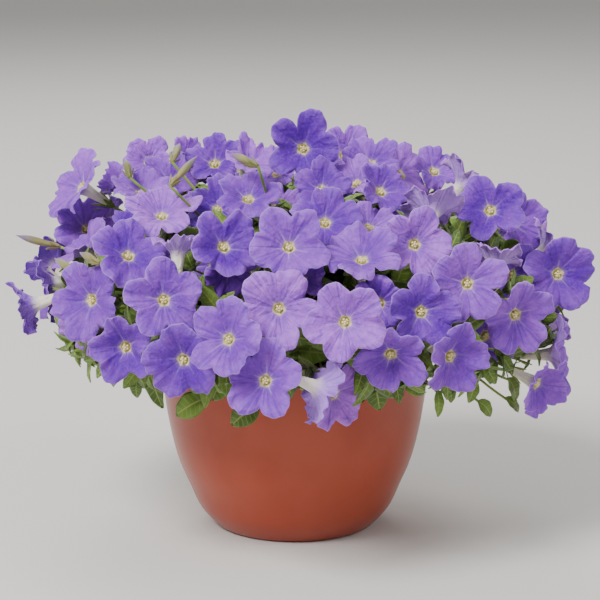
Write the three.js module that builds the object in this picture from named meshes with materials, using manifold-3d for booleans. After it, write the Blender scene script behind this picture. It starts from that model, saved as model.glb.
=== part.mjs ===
// Spreading petunia in a round glazed planter.
// Millimetres, +Z up, origin at the centre of the pot's foot, front of the plant towards -Y.
import * as THREE from 'three';
import { mergeVertices } from 'three/addons/utils/BufferGeometryUtils.js';
import Module from 'manifold-3d';

const wasm = await Module();
wasm.setup();

// Driving dimensions of the pot and its soil
const potHeight = 150;
const potRimRadius = 107;
const potFootRadius = 61;
const potWall = 5;
const potFloor = 6;
const lipHeight = 11;
const lipOut = 2.6;
const potSides = 30;
const drainRadius = 5;
const drainCircle = 34;
const drainCount = 3;
const soilTop = 137;
const crownRadius = 11;
const seat = 0.3;

// Driving dimensions of the plant: the shell that the blooms' limbs lie on, and the green mass inside
const mound = { x: 8, y: 0, z: 165, across: 203, deep: 183, up: 128, down: 64 };
const coreUnder = 56;
const coreDown = 26;
const soilGap = 0.4;

// Driving dimensions of one bloom
const tubeLength = 35;
const throatRadius = 4.8;
const throatDepth = 8.5;
const pitDepth = 17;
const tubeTopRadius = 6.3;
const tubeMidRadius = 4.2;
const tubeBaseRadius = 2.4;
const petalThickness = 0.8;
const notchDepth = 0.15;
const lobeHalfAngle = 19;
const lobeFullness = 0.6;
const calyxRadius = 3.5;
const calyxLength = 6;
const stalkRadius = 1.5;
const clearance = 0.35;

const degree = Math.PI / 180;
const vector = (x, y, z) => new THREE.Vector3(x, y, z);
const along = (from, direction, length) => from.clone().addScaledVector(direction, length);

// Seeded random numbers from 0 to 1
function randomFrom(seed) {
  let state = seed >>> 0;
  return () => {
    state = (state + 0x6d2b79f5) >>> 0;
    let mixed = state;
    mixed = Math.imul(mixed ^ (mixed >>> 15), mixed | 1);
    mixed ^= mixed + Math.imul(mixed ^ (mixed >>> 7), mixed | 61);
    return ((mixed ^ (mixed >>> 14)) >>> 0) / 4294967296;
  };
}

// The picture that places are read in: 600 by 600, seen from 12 degrees above
const picture = { middle: 300, focal: 2500, pitch: 12 };
const eye = vector(4, -1896, 580);
const sightDown = Math.sin(picture.pitch * degree);
const sightLevel = Math.cos(picture.pitch * degree);

function sight(x, y) {
  const right = (x - picture.middle) / picture.focal;
  const up = (picture.middle - y) / picture.focal;
  return vector(right, sightLevel + up * sightDown, up * sightLevel - sightDown).normalize();
}

// Where the line of sight meets the mound's shell moved out by a distance, or passes nearest to it
function meetMound(direction, out) {
  const solve = (height) => {
    const scale = vector(1 / (mound.across + out), 1 / (mound.deep + out), 1 / height);
    const start = eye.clone().sub(vector(mound.x, mound.y, mound.z)).multiply(scale);
    const slope = direction.clone().multiply(scale);
    const a = slope.dot(slope);
    const b = start.dot(slope);
    const c = start.dot(start) - 1;
    const root = Math.max(0, b * b - a * c);
    return along(eye, direction, (-b - Math.sqrt(root)) / a);
  };
  const upper = solve(mound.up + out);
  return upper.z >= mound.z ? upper : solve(mound.down + out);
}

function facingOf(turn, tilt) {
  const level = Math.cos(tilt * degree);
  return vector(level * Math.sin(turn * degree), -level * Math.cos(turn * degree), Math.sin(tilt * degree));
}

// Blooms that show. x, y: the limb's centre in the picture. across: millimetres from lobe to lobe.
// turn: degrees to the right of facing front. tilt: degrees up. rank: 0 behind, 1 between, 2 in front.
// tint: 0 deep violet to 1 pale lavender. spray: the stem that carries it, or 0 for one on its own.
const seen = (x, y, across, turn, tilt, rank, tint, spray = 0) =>
  ({ x, y, across, turn, tilt, rank, tint, spray });
const seenBlooms = [
  seen(328, 392, 56, 118, -26, 2, 0.85),
  seen(303, 147, 57, 0, 18, 2, 0.05),
  seen(408, 168, 54, 60, 40, 1, 0.75),
  seen(470, 180, 54, 110, 35, 1, 0.9),
  seen(490, 207, 54, -6, 29, 2, 0.1),
  seen(522, 222, 54, 39, 15, 1, 0.4),
  seen(555, 243, 50, 120, 35, 1, 0.9),
  seen(562, 274, 58, 18, 11, 2, 0.1),
  seen(498, 252, 42, 175, 62, 1, 0.95),
  seen(520, 318, 56, 21, -6, 2, 0.35),
  seen(470, 283, 58, 24, 14, 2, 0.5),
  seen(425, 312, 55, 18, 11, 2, 0.3),
  seen(379, 303, 46, -16, 14, 1, 0.3),
  seen(391, 360, 54, 0, -18, 2, 0.25),
  seen(457, 359, 54, 21, -3, 2, 0.35),
  seen(564, 354, 63, 80, 5, 2, 0.45),
  seen(545, 388, 52, 60, -15, 2, 0.4),
  seen(345, 322, 58, 12, 12, 2, 0.4),
  seen(280, 308, 59, 6, 15, 2, 0.6),
  seen(263, 380, 57, -12, 17, 2, 0.2),
  seen(343, 400, 54, 35, -20, 1, 0.3),
  seen(224, 337, 57, -24, 11, 1, 0.3),
  seen(180, 364, 57, -15, -9, 2, 0.3),
  seen(122, 350, 51, -15, -3, 2, 0.25),
  seen(85, 300, 60, -31, 10, 2, 0.3),
  seen(164, 299, 59, -9, 18, 1, 0.35),
  seen(130, 250, 57, 0, 45, 2, 0.2),
  seen(87, 224, 56, -12, 42, 1, 0.45),
  seen(162, 208, 59, 6, 60, 1, 0.8),
  seen(178, 240, 40, 180, 68, 2, 0.95),
  seen(227, 243, 55, 7, 32, 2, 0.1),
  seen(232, 277, 55, 0, -25, 0, 0.3),
  seen(290, 243, 58, 7, 32, 2, 0.3),
  seen(326, 217, 52, 8, 42, 1, 0.2),
  seen(362, 252, 60, 0, 45, 1, 0.4),
  seen(416, 243, 53, 6, 18, 1, 0.75),
  seen(432, 205, 50, 175, 58, 1, 0.9),
  seen(248, 192, 48, 0, 52, 1, 0.25),
  seen(168, 176, 48, -8, 42, 1, 0.4),
  seen(73, 182, 60, -63, 33, 2, 0.5),
  seen(42, 286, 50, -80, -10, 1, 0.15),
  seen(346, 150, 46, 10, 40, 0, 0.7, 1),
  seen(371, 158, 46, 20, 45, 0, 0.6, 1),
  seen(352, 176, 44, -40, 40, 0, 0.3, 1),
  seen(385, 186, 44, 30, 40, 0, 0.35, 2),
  seen(437, 165, 44, 40, 50, 0, 0.5, 2),
  seen(394, 222, 46, 20, 30, 0, 0.85, 2),
  seen(520, 275, 46, 30, 10, 0, 0.05, 3),
  seen(468, 235, 46, 10, 20, 0, 0.2, 3),
  seen(490, 340, 48, 20, 0, 0, 0.3, 4),
  seen(514, 364, 40, 30, -20, 0, 0.35, 4),
  seen(213, 158, 46, -10, 30, 0, 0.8, 5),
  seen(190, 152, 44, 10, 40, 0, 0.75, 5),
  seen(197, 168, 42, 180, 40, 1, 0.9, 5),
  seen(240, 165, 44, -10, 40, 0, 0.1, 6),
  seen(275, 166, 44, 0, 60, 0, 0.95, 6),
  seen(252, 156, 42, 10, 55, 0, 0.5, 6),
  seen(140, 183, 46, -10, 60, 1, 0.45, 7),
  seen(147, 158, 46, -10, 40, 0, 0.85, 7),
  seen(110, 180, 44, -60, 35, 1, 0.3, 7),
  seen(138, 216, 42, -10, 60, 1, 0.05, 8),
  seen(192, 265, 46, 20, 35, 0, 0.6, 8),
  seen(215, 203, 50, 0, 45, 0, 0.3, 8),
  seen(48, 258, 46, -120, 35, 1, 0.85, 9),
  seen(24, 308, 44, -80, -20, 0, 0.3, 9),
  seen(82, 334, 46, -40, -25, 0, 0.2, 9),
  seen(372, 220, 42, 25, 55, 0, 0.85, 10),
  seen(303, 278, 46, 5, 20, 0, 0.4, 10),
  seen(322, 184, 46, 0, 30, 0, 0.1, 10),
  seen(278, 201, 44, 0, 55, 0, 0.7, 10),
];

// Blooms of the back and the far side, spread evenly over the rest of the shell by the golden angle
const hiddenSpacing = 60;
const hiddenLattice = 150;
const hiddenSprays = 6;
const goldenAngle = Math.PI * (3 - Math.sqrt(5));

// One placed bloom, with the two directions across its face
function aim(bloom, facing) {
  bloom.facing = facing;
  bloom.side = vector(0, 0, 1).cross(facing).normalize();
  bloom.top = facing.clone().cross(bloom.side);
}

function makeBloom(centre, facing, across, roll, cup, tint, spray) {
  const bloom = { centre, radius: across / 2, roll, cup, tint, spray };
  aim(bloom, facing);
  return bloom;
}

function locate(bloom, radial, angle, forward) {
  const turned = angle + bloom.roll;
  const point = along(bloom.centre, bloom.facing, forward);
  point.addScaledVector(bloom.side, radial * Math.cos(turned));
  return point.addScaledVector(bloom.top, radial * Math.sin(turned));
}

// Outline and dish of the limb: radius at an angle, and height of its face at a part of that radius
function rimRadius(bloom, angle) {
  const lobe = Math.abs(Math.cos(2.5 * angle)) ** lobeFullness;
  return bloom.radius * (1 - notchDepth * (1 - lobe));
}

function faceHeight(bloom, part) {
  const open = 1 - part;
  return bloom.cup * part - throatDepth * open;
}

// Sample points of a bloom, each with the room that it needs
const limbRoom = 2.6;
const tubeRoom = 5;
const limbSteps = 5;
const rayAngles = [-lobeHalfAngle, 0, lobeHalfAngle, 36];
const tubeSteps = 6;
const samplesOf = (bloom) => {
  const samples = [];
  for (let ray = 0; ray < 5 * rayAngles.length; ray += 1) {
    const angle = (72 * Math.floor(ray / rayAngles.length) + rayAngles[ray % rayAngles.length]) * degree;
    const edge = rimRadius(bloom, angle);
    for (let step = 1; step <= limbSteps; step += 1) {
      const part = step / limbSteps;
      const radial = throatRadius + (edge - throatRadius) * part;
      samples.push({ point: locate(bloom, radial, angle, faceHeight(bloom, part)), room: limbRoom });
    }
  }
  for (let step = 0; step < tubeSteps; step += 1) {
    const depth = throatDepth + ((tubeLength + calyxLength - throatDepth) * step) / (tubeSteps - 1);
    samples.push({ point: along(bloom.centre, bloom.facing, -depth), room: tubeRoom });
  }
  return samples;
};

// Whether a point comes nearer to a bloom's limb or tube than the room it needs
function touches(bloom, point, room) {
  const offset = point.clone().sub(bloom.centre);
  if (offset.lengthSq() > (bloom.radius + tubeLength + room) ** 2) return false;
  const forward = offset.dot(bloom.facing);
  const acrossFace = offset.dot(bloom.side);
  const upFace = offset.dot(bloom.top);
  const radial = Math.hypot(acrossFace, upFace);
  const tubeEnd = tubeLength + calyxLength;
  if (forward < -throatDepth && forward > -tubeEnd - room && radial < tubeMidRadius + room) return true;
  const edge = rimRadius(bloom, Math.atan2(upFace, acrossFace) - bloom.roll);
  if (radial > edge + room) return false;
  const part = Math.min(1, Math.max(0, (radial - throatRadius) / (edge - throatRadius)));
  return Math.abs(forward - faceHeight(bloom, part)) < room;
}

function nearPot(point, room) {
  const radial = Math.hypot(point.x, point.y);
  return point.z < potHeight + room && radial < potRimRadius + lipOut + room;
}

// The green mass inside the mound, which every stalk and leaf grows out of
const core = {
  across: mound.across - coreUnder,
  deep: mound.deep - coreUnder,
  up: mound.up - coreUnder,
  down: coreDown,
};

function corePart(point) {
  const tall = point.z > mound.z ? core.up : core.down;
  const across = (point.x - mound.x) / core.across;
  const deep = (point.y - mound.y) / core.deep;
  return Math.hypot(across, deep, (point.z - mound.z) / tall);
}

// The way from a bloom's calyx to what carries it: straight back, then bending in.
// It is bent another way until it is clear of the pot, every other bloom and every other spray's stalks.
const heart = vector(mound.x, mound.y, mound.z);
const insideCore = 0.85;
const atCore = 0.98;
const coreFloor = potHeight + 5;
function intoCore(point, depth) {
  const goal = point.clone();
  goal.z = Math.max(goal.z, coreFloor);
  const inwards = Math.min(1, depth / corePart(goal));
  return goal.sub(heart).multiplyScalar(inwards).add(heart);
}

const stalkSides = 5;
const stalkSteps = 3;
const stalkSamples = 7;
const stalkRoom = 3.8;
const stemRoom = 4;
const knotRadius = 4;
const knotRoom = 7;
const kneeReach = 13;
const shortestStretch = 2.5;
const sharpestBend = 0.2;
const kneeShifts = [0, 12, -12, 24, -24];
const goalShifts = [0, 20, -20];

// Corners of the straight stretches that a stalk's solid is made of, and points along them
function cornersOf(bloom, curve) {
  const corners = curve.getPoints(stalkSteps);
  if (bloom.spray > 0) corners[0] = along(bloom.centre, bloom.facing, -tubeLength);
  return corners;
}

function stretches(bloom, curve) {
  const corners = cornersOf(bloom, curve);
  const points = [];
  for (let step = 0; step < stalkSteps; step += 1) {
    for (let part = 1; part <= stalkSamples; part += 1) {
      points.push(corners[step].clone().lerp(corners[step + 1], part / stalkSamples));
    }
  }
  return points;
}

// Whether each stretch goes on within a right angle or so of the one before it
function bendsGently(bloom, curve) {
  const corners = cornersOf(bloom, curve);
  let before = bloom.facing.clone().negate();
  for (let step = 0; step < stalkSteps; step += 1) {
    const next = corners[step + 1].clone().sub(corners[step]);
    if (next.length() < shortestStretch) return false;
    next.normalize();
    if (next.dot(before) < sharpestBend) return false;
    before = next;
  }
  return true;
}

function stalkClear(bloom, stem, near) {
  if (stem.some((point) => nearPot(point, stalkRoom))) return false;
  const end = stem[stem.length - 1];
  return near.every((other) => {
    if (stem.some((point) => touches(other, point, stalkRoom))) return false;
    if (bloom.spray > 0 && touches(other, end, knotRoom)) return false;
    if (bloom.spray > 0 && other.spray !== bloom.spray
      && other.stem.some((one) => one.distanceTo(end) < knotRoom)) return false;
    if (other.spray === bloom.spray) return true;
    const knot = other.stem[other.stem.length - 1];
    if (other.spray > 0 && stem.some((point) => point.distanceTo(knot) < knotRoom)) return false;
    return !stem.some((point) => other.stem.some((one) => one.distanceTo(point) < stemRoom));
  });
}

const sprayRoots = new Map();
function growStalk(bloom, near) {
  const start = along(bloom.centre, bloom.facing, -tubeLength - seat - calyxLength);
  const root = sprayRoots.get(bloom.spray);
  const depth = bloom.spray === 0 ? insideCore : atCore;
  const ownGoal = intoCore(start, depth);
  const shifts = root ? [0] : goalShifts;
  for (const shift of shifts) {
    for (const upwards of kneeShifts) {
      for (const sideways of kneeShifts) {
        const knee = along(start, bloom.facing, -kneeReach);
        knee.addScaledVector(bloom.side, sideways).addScaledVector(bloom.top, upwards);
        const goal = root ?? intoCore(along(ownGoal, bloom.side, shift), depth);
        const curve = new THREE.QuadraticBezierCurve3(start, knee, goal);
        if (!bendsGently(bloom, curve)) continue;
        const stem = stretches(bloom, curve);
        if (stalkClear(bloom, stem, near)) return { curve, stem, goal };
      }
    }
  }
  return null;
}

function collide(one, other) {
  const hits = (samples, bloom) => samples.some(({ point, room }) => touches(bloom, point, room));
  if (hits(one.samples, other) || hits(other.samples, one)) return true;
  return other.stem.some((point) => touches(one, point, stalkRoom));
}

// Move a bloom a millimetre at a time, leaning it a little each way, until it and its stalk are clear.
// One in front only moves out. One behind moves out and in by turns.
const liftLimit = 70;
const youngSizes = [1, 0.86, 0.72];
const leanAngle = 13;
const leans = [[0, 0], [1, 0], [-1, 0], [0, 1], [0, -1]];
const nearby = 120;
const placed = [];
function settle(bloom, direction, bothWays) {
  const start = bloom.centre.clone();
  const facing = bloom.facing.clone();
  const full = bloom.radius;
  for (const size of youngSizes) {
    bloom.radius = full * size;
    if (findRoom(bloom, start, facing, direction, bothWays)) return;
  }
}

function findRoom(bloom, start, facing, direction, bothWays) {
  const lean = Math.tan(leanAngle * degree);
  for (let step = 0; step < liftLimit; step += 1) {
    const inwards = bothWays && step % 2 === 1;
    const reach = bothWays ? Math.ceil(step / 2) : step;
    bloom.centre = along(start, direction, inwards ? -reach : reach);
    const near = placed.filter((other) => other.centre.distanceTo(bloom.centre) < nearby);
    for (const [sideways, upwards] of leans) {
      aim(bloom, facing);
      const leaned = along(facing, bloom.side, lean * sideways);
      aim(bloom, along(leaned, bloom.top, lean * upwards).normalize());
      bloom.samples = samplesOf(bloom);
      if (bloom.samples.some(({ point, room }) => nearPot(point, room))) continue;
      if (near.some((other) => collide(bloom, other))) continue;
      const grown = growStalk(bloom, near);
      if (!grown) continue;
      bloom.curve = grown.curve;
      bloom.stem = grown.stem;
      if (bloom.spray > 0) sprayRoots.set(bloom.spray, grown.goal);
      placed.push(bloom);
      return true;
    }
  }
  return false;
}

const rankOut = [-18, -6, 6];
const random = randomFrom(7);
const drawn = seenBlooms.map((entry) => ({ ...entry, roll: random() * 72 * degree, cup: 3 * random() - 1 }));
for (const rank of [2, 1, 0]) {
  for (const entry of drawn.filter((one) => one.rank === rank)) {
    const direction = sight(entry.x, entry.y);
    const centre = meetMound(direction, rankOut[rank]);
    const facing = facingOf(entry.turn, entry.tilt);
    const bloom = makeBloom(centre, facing, entry.across, entry.roll, entry.cup, entry.tint, entry.spray);
    settle(bloom, direction.clone().negate(), rank < 2);
  }
}

// Points spread evenly over the shell, with the way out of it at each
function shellPoint(index, count, out) {
  const height = 1 - (2 * (index + 0.5)) / count;
  const level = Math.sqrt(1 - height * height);
  const angle = index * goldenAngle;
  const tall = (height > 0 ? mound.up : mound.down) + out;
  const point = vector(
    mound.x + (mound.across + out) * level * Math.cos(angle),
    mound.y + (mound.deep + out) * level * Math.sin(angle),
    mound.z + tall * height,
  );
  const outward = vector(
    (point.x - mound.x) / mound.across ** 2,
    (point.y - mound.y) / mound.deep ** 2,
    (point.z - mound.z) / tall ** 2,
  ).normalize();
  return { point, outward, height };
}

const lowestHidden = -0.45;
for (let index = 0; index < hiddenLattice; index += 1) {
  const { point, outward, height } = shellPoint(index, hiddenLattice, -4);
  const tint = random();
  const roll = random() * 72 * degree;
  const sway = vector(random() - 0.5, random() - 0.5, random() * 0.6);
  const free = placed.every((other) => other.centre.distanceTo(point) > hiddenSpacing - 14);
  const away = point.y > mound.y - 20 && height > lowestHidden;
  if (!free || !away) continue;
  const facing = outward.clone().addScaledVector(sway, 0.7).normalize();
  const sector = Math.floor(((Math.atan2(point.y, point.x - mound.x) / Math.PI + 1) * hiddenSprays) / 2);
  const bloom = makeBloom(point, facing, 52 + 6 * tint, roll, 0, tint, 20 + sector);
  settle(bloom, outward, true);
}

// Closed solids from three.js geometry, with vertices closer than a tolerance made one
const fineWeld = 1e-4;
const coarseWeld = 1e-3;
function solidOf(geometry, weld = fineWeld) {
  geometry.deleteAttribute('normal');
  geometry.deleteAttribute('uv');
  const merged = mergeVertices(geometry, weld);
  return new wasm.Manifold(new wasm.Mesh({
    numProp: 3,
    vertProperties: new Float32Array(merged.attributes.position.array),
    triVerts: new Uint32Array(merged.index.array),
  }));
}

function geometryOf(solid) {
  const { vertProperties, triVerts } = solid.getMesh();
  const geometry = new THREE.BufferGeometry();
  geometry.setAttribute('position', new THREE.BufferAttribute(vertProperties, 3));
  geometry.setIndex(new THREE.BufferAttribute(triVerts, 1));
  return geometry;
}

function joinAll(solids) {
  let level = solids;
  while (level.length > 1) {
    const next = [];
    for (let index = 0; index < level.length; index += 2) {
      next.push(index + 1 < level.length ? level[index].add(level[index + 1]) : level[index]);
    }
    level = next;
  }
  return level[0];
}

// The largest connected body of a solid: loose scraps that a cut leaves are dropped
function largestBody(solid) {
  const { vertProperties, triVerts } = solidOf(geometryOf(solid), coarseWeld).getMesh();
  const parent = Array.from({ length: vertProperties.length / 3 }, (_, index) => index);
  const find = (index) => {
    let top = index;
    while (parent[top] !== top) top = parent[top];
    parent[index] = top;
    return top;
  };
  for (let i = 0; i < triVerts.length; i += 3) {
    parent[find(triVerts[i + 1])] = find(triVerts[i]);
    parent[find(triVerts[i + 2])] = find(triVerts[i]);
  }
  const size = new Map();
  for (const index of triVerts) size.set(find(index), (size.get(find(index)) ?? 0) + 1);
  const kept = [...size.entries()].sort((one, other) => other[1] - one[1])[0][0];
  const triangles = [];
  for (let i = 0; i < triVerts.length; i += 3) {
    if (find(triVerts[i]) === kept) triangles.push(triVerts[i], triVerts[i + 1], triVerts[i + 2]);
  }
  const geometry = new THREE.BufferGeometry();
  const used = [...new Set(triangles)];
  const order = new Map(used.map((old, index) => [old, index]));
  const positions = used.flatMap((old) => [...vertProperties.slice(3 * old, 3 * old + 3)]);
  geometry.setAttribute('position', new THREE.Float32BufferAttribute(positions, 3));
  geometry.setIndex(triangles.map((old) => order.get(old)));
  return geometry;
}

// Closed skin over rings of points, counter-clockwise about the way that they follow each other.
// A ring is joined to one of the same size, to a single point, or to one of three times its size.
// With bothAlike, the second half of each ring is split like the first, so thin blades stay apart.
function skin(rings, bothAlike = false) {
  const starts = rings.map((ring, index) => rings.slice(0, index).reduce((sum, one) => sum + one.length, 0));
  const faces = [];
  const first = rings[0].length;
  for (let i = 1; i < first - 1; i += 1) faces.push([0, i + 1, i]);
  for (let r = 0; r + 1 < rings.length; r += 1) {
    const size = rings[r].length;
    const next = rings[r + 1].length;
    const a = (i) => starts[r] + (i % size);
    const b = (i) => starts[r + 1] + (i % next);
    if (size === next) {
      for (let i = 0; i < size; i += 1) {
        if (bothAlike && i >= size / 2) faces.push([a(i), a(i + 1), b(i + 1)], [a(i), b(i + 1), b(i)]);
        else faces.push([a(i), a(i + 1), b(i)], [a(i + 1), b(i + 1), b(i)]);
      }
    } else if (next === 1) {
      for (let i = 0; i < size; i += 1) faces.push([a(i), a(i + 1), b(0)]);
    } else if (next === 2 * size) {
      for (let i = 0; i < size; i += 1) {
        const j = 2 * i;
        faces.push([a(i), b(j + 1), b(j)], [a(i), a(i + 1), b(j + 1)], [a(i + 1), b(j + 2), b(j + 1)]);
      }
    } else if (size === 2 * next) {
      for (let i = 0; i < next; i += 1) {
        const j = 2 * i;
        faces.push([a(j), a(j + 1), b(i)], [a(j + 1), b(i + 1), b(i)], [a(j + 1), a(j + 2), b(i + 1)]);
      }
    } else if (next === 3 * size) {
      for (let i = 0; i < size; i += 1) {
        const j = 3 * i;
        faces.push([a(i), b(j + 1), b(j)], [a(i), b(j + 2), b(j + 1)]);
        faces.push([a(i), a(i + 1), b(j + 2)], [a(i + 1), b(j + 3), b(j + 2)]);
      }
    } else {
      for (let i = 0; i < next; i += 1) {
        const j = 3 * i;
        faces.push([a(j), a(j + 1), b(i)], [a(j + 1), a(j + 2), b(i)]);
        faces.push([a(j + 2), b(i + 1), b(i)], [a(j + 2), a(j + 3), b(i + 1)]);
      }
    }
  }
  const last = rings[rings.length - 1].length;
  const end = starts[rings.length - 1];
  for (let i = 1; i < last - 1; i += 1) faces.push([end, end + i, end + i + 1]);
  const geometry = new THREE.BufferGeometry();
  const positions = rings.flat().flatMap((point) => point.toArray());
  geometry.setAttribute('position', new THREE.Float32BufferAttribute(positions, 3));
  geometry.setIndex(faces.flat());
  return solidOf(geometry);
}

// Pot: turned wall with a smooth swelling foot, a plain lip and drain holes
const bulge = new THREE.SplineCurve([
  new THREE.Vector2(potFootRadius, 0),
  new THREE.Vector2(potFootRadius + 13.5, 15),
  new THREE.Vector2(82.5, 32),
  new THREE.Vector2(92.5, 57),
  new THREE.Vector2(100, 92),
  new THREE.Vector2(potRimRadius - 1, potHeight - lipHeight),
]);
const wallSteps = 5;
const outerWall = bulge.getPoints(wallSteps);

function turned(profile, sides) {
  const geometry = new THREE.LatheGeometry(profile, sides);
  geometry.rotateX(Math.PI / 2);
  return solidOf(geometry);
}

function cylinder(radius, bottom, top, sides) {
  const geometry = new THREE.CylinderGeometry(radius, radius, top - bottom, sides);
  geometry.rotateX(Math.PI / 2);
  geometry.translate(0, 0, (top + bottom) / 2);
  return solidOf(geometry);
}

function shifted(radius, bottom, top, sides, x, y) {
  const geometry = new THREE.CylinderGeometry(radius, radius, top - bottom, sides);
  geometry.rotateX(Math.PI / 2);
  geometry.translate(x, y, (top + bottom) / 2);
  return solidOf(geometry);
}

function makePot() {
  const at = (radius, height) => new THREE.Vector2(radius, height);
  const inside = outerWall
    .filter((point) => point.y > potFloor + 6)
    .map((point) => at(point.x - potWall, point.y))
    .reverse();
  const profile = [
    at(0, 0),
    ...outerWall,
    at(potRimRadius + lipOut, potHeight - lipHeight + 2),
    at(potRimRadius + lipOut + 0.4, potHeight - 3),
    at(potRimRadius + lipOut - 2.4, potHeight),
    at(potRimRadius - potWall + 1.6, potHeight),
    at(potRimRadius - potWall, potHeight - 2),
    ...inside,
    at(potFootRadius + 2, potFloor),
    at(0, potFloor),
  ];
  let pot = turned(profile, potSides);
  for (let hole = 0; hole < drainCount; hole += 1) {
    const angle = ((hole + 0.25) / drainCount) * 2 * Math.PI;
    const x = drainCircle * Math.cos(angle);
    const y = drainCircle * Math.sin(angle);
    pot = pot.subtract(shifted(drainRadius, -1, potFloor + 1, 12, x, y));
  }
  return pot;
}

// Soil: fills the pot to just under the lip, a gap's width from the wall, with a hole for the crown
function makeSoil() {
  const at = (radius, height) => new THREE.Vector2(radius, height);
  const side = outerWall
    .filter((point) => point.y > potFloor + 6 && point.y < soilTop - 4)
    .map((point) => at(point.x - potWall - seat, point.y));
  const profile = [
    at(0, potFloor + seat),
    at(potFootRadius + 1.6, potFloor + seat),
    ...side,
    at(potRimRadius - potWall - 1.6, soilTop - 2.5),
    at(potRimRadius - potWall - 12, soilTop),
    at(0, soilTop),
  ];
  return turned(profile, potSides).subtract(cylinder(crownRadius + seat, soilTop - 30, soilTop + 5, 10));
}

// A bloom's corolla: five-lobed limb, funnel and tube in one closed skin. grow makes it larger all round.
function corolla(bloom, grow = 0, stem = []) {
  const petals = 5;
  const rimAngles = bloom.spray === 0 ? [-lobeHalfAngle, lobeHalfAngle, 36] : [0, 36];
  const small = (radial, forward) => {
    const ring = [];
    for (let i = 0; i < petals; i += 1) {
      ring.push(locate(bloom, radial, i * 72 * degree, forward));
    }
    return ring;
  };
  const rim = (forward) => {
    const ring = [];
    for (let i = 0; i < petals; i += 1) {
      for (const angle of rimAngles) {
        const turnedBy = (i * 72 + angle) * degree;
        const edge = rimRadius(bloom, turnedBy) + grow;
        const ruffle = angle === 36 ? -0.5 : 0.4;
        ring.push(locate(bloom, edge, turnedBy, bloom.cup + ruffle + forward));
      }
    }
    return ring;
  };
  return skin([
    ...stem,
    small(tubeBaseRadius + grow, -tubeLength - (stem.length > 0 ? -1.5 : grow)),
    small(tubeTopRadius + grow, -throatDepth - 3 - grow),
    rim(-petalThickness - grow),
    rim(grow),
    small(throatRadius - grow * 0.5, -throatDepth + grow),
    [locate(bloom, 0, 0, -pitDepth)],
  ]);
}

function makeCore() {
  const geometry = new THREE.SphereGeometry(1, 16, 10);
  geometry.rotateX(Math.PI / 2);
  const place = geometry.attributes.position;
  for (let i = 0; i < place.count; i += 1) {
    const point = vector().fromBufferAttribute(place, i);
    const lump = 1 + 0.035 * Math.sin(5 * point.x + 1) * Math.cos(4 * point.y) - 0.03 * Math.cos(7 * point.z);
    place.setXYZ(
      i,
      mound.x + core.across * lump * point.x,
      mound.y + core.deep * lump * point.y,
      mound.z + (point.z > 0 ? core.up : core.down) * lump * point.z,
    );
  }
  const mouth = cylinder(potRimRadius + lipOut + soilGap, potHeight - 40, potHeight + soilGap, potSides);
  return solidOf(geometry).subtract(mouth);
}

// Rings of a stalk along its curve, square to it at each step
function stalkRings(bloom, curve, radius, steps) {
  const rings = [];
  for (let step = 1; step <= steps; step += 1) {
    const middle = curve.getPoint(step / steps);
    const ahead = curve.getTangent(step / steps);
    const side = bloom.side.clone().addScaledVector(ahead, -bloom.side.dot(ahead)).normalize();
    const top = side.clone().cross(ahead).normalize();
    const ring = [];
    for (let i = 0; i < stalkSides; i += 1) {
      const angle = i * 72 * degree + bloom.roll;
      const point = along(middle, side, radius * Math.cos(angle));
      ring.push(point.addScaledVector(top, radius * Math.sin(angle)));
    }
    rings.push(ring);
  }
  return rings;
}

function bloomRing(bloom, radial, forward) {
  const points = [];
  for (let i = 0; i < stalkSides; i += 1) points.push(locate(bloom, radial, i * 72 * degree, forward));
  return points;
}

// Flower stalk with its calyx, a cup that ends just under the bloom's tube
function calyxAndStalk(bloom, curve) {
  const cup = -tubeLength - seat;
  return skin([
    ...stalkRings(bloom, curve, stalkRadius, stalkSteps).reverse(),
    bloomRing(bloom, stalkRadius + 0.2, cup - calyxLength),
    bloomRing(bloom, calyxRadius + 0.4, cup - 0.2),
  ]);
}

// Bloom of a spray: its stalk, calyx and corolla in one skin
function stalkedBloom(bloom, curve, grow = 0) {
  const stem = [
    ...stalkRings(bloom, curve, stalkRadius + grow, stalkSteps).reverse(),
    bloomRing(bloom, calyxRadius + 0.4 + grow, -tubeLength),
  ];
  return corolla(bloom, grow, stem);
}

// Leaf blade: a stem end, a shoulder and a tip, folded a little along the midrib and arched.
// up is the way that its upper face looks.
const leafThickness = 0.8;
const leafFold = 0.16;
const leafArch = 0.14;
function leafBlade(base, ahead, up, length, width, root = null) {
  const side = ahead.clone().cross(up).normalize();
  const above = side.clone().cross(ahead).normalize();
  const section = (part, half) => {
    const middle = along(base, ahead, length * part);
    middle.addScaledVector(above, length * leafArch * (4 * part * (1 - part) - part));
    const low = leafThickness / 2;
    const place = (sideways, height) => along(along(middle, side, sideways), above, height);
    const lift = half * leafFold;
    return [
      place(-half, lift + low), place(0, low), place(half, lift + low),
      place(half, lift - low), place(0, -low), place(-half, lift - low),
    ];
  };
  const foot = section(0, 1.2);
  const stem = root ? [foot.map((point) => point.clone().sub(base).add(root))] : [];
  return skin([
    ...stem,
    foot,
    section(leafShoulder, width / 2),
    section(leafWaist, width * 0.36),
    [along(along(base, ahead, length), above, -length * leafArch)],
  ], true);
}

const leafRoot = 0.86;
const leafShoulder = 0.48;
const leafWaist = 0.78;
const leafRoom = 2.6;
function leafPoints(base, ahead, up, length, width) {
  const side = ahead.clone().cross(up).normalize();
  const points = [];
  for (const part of [0.35, 0.5, 0.65, 0.8, 0.92, 1]) {
    const middle = along(base, ahead, length * part);
    middle.addScaledVector(up, length * leafArch * (4 * part * (1 - part) - part));
    const half = part < 0.95 ? width * 0.42 : 0;
    points.push(middle, along(middle, side, half), along(middle, side, -half));
  }
  return points;
}

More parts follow.
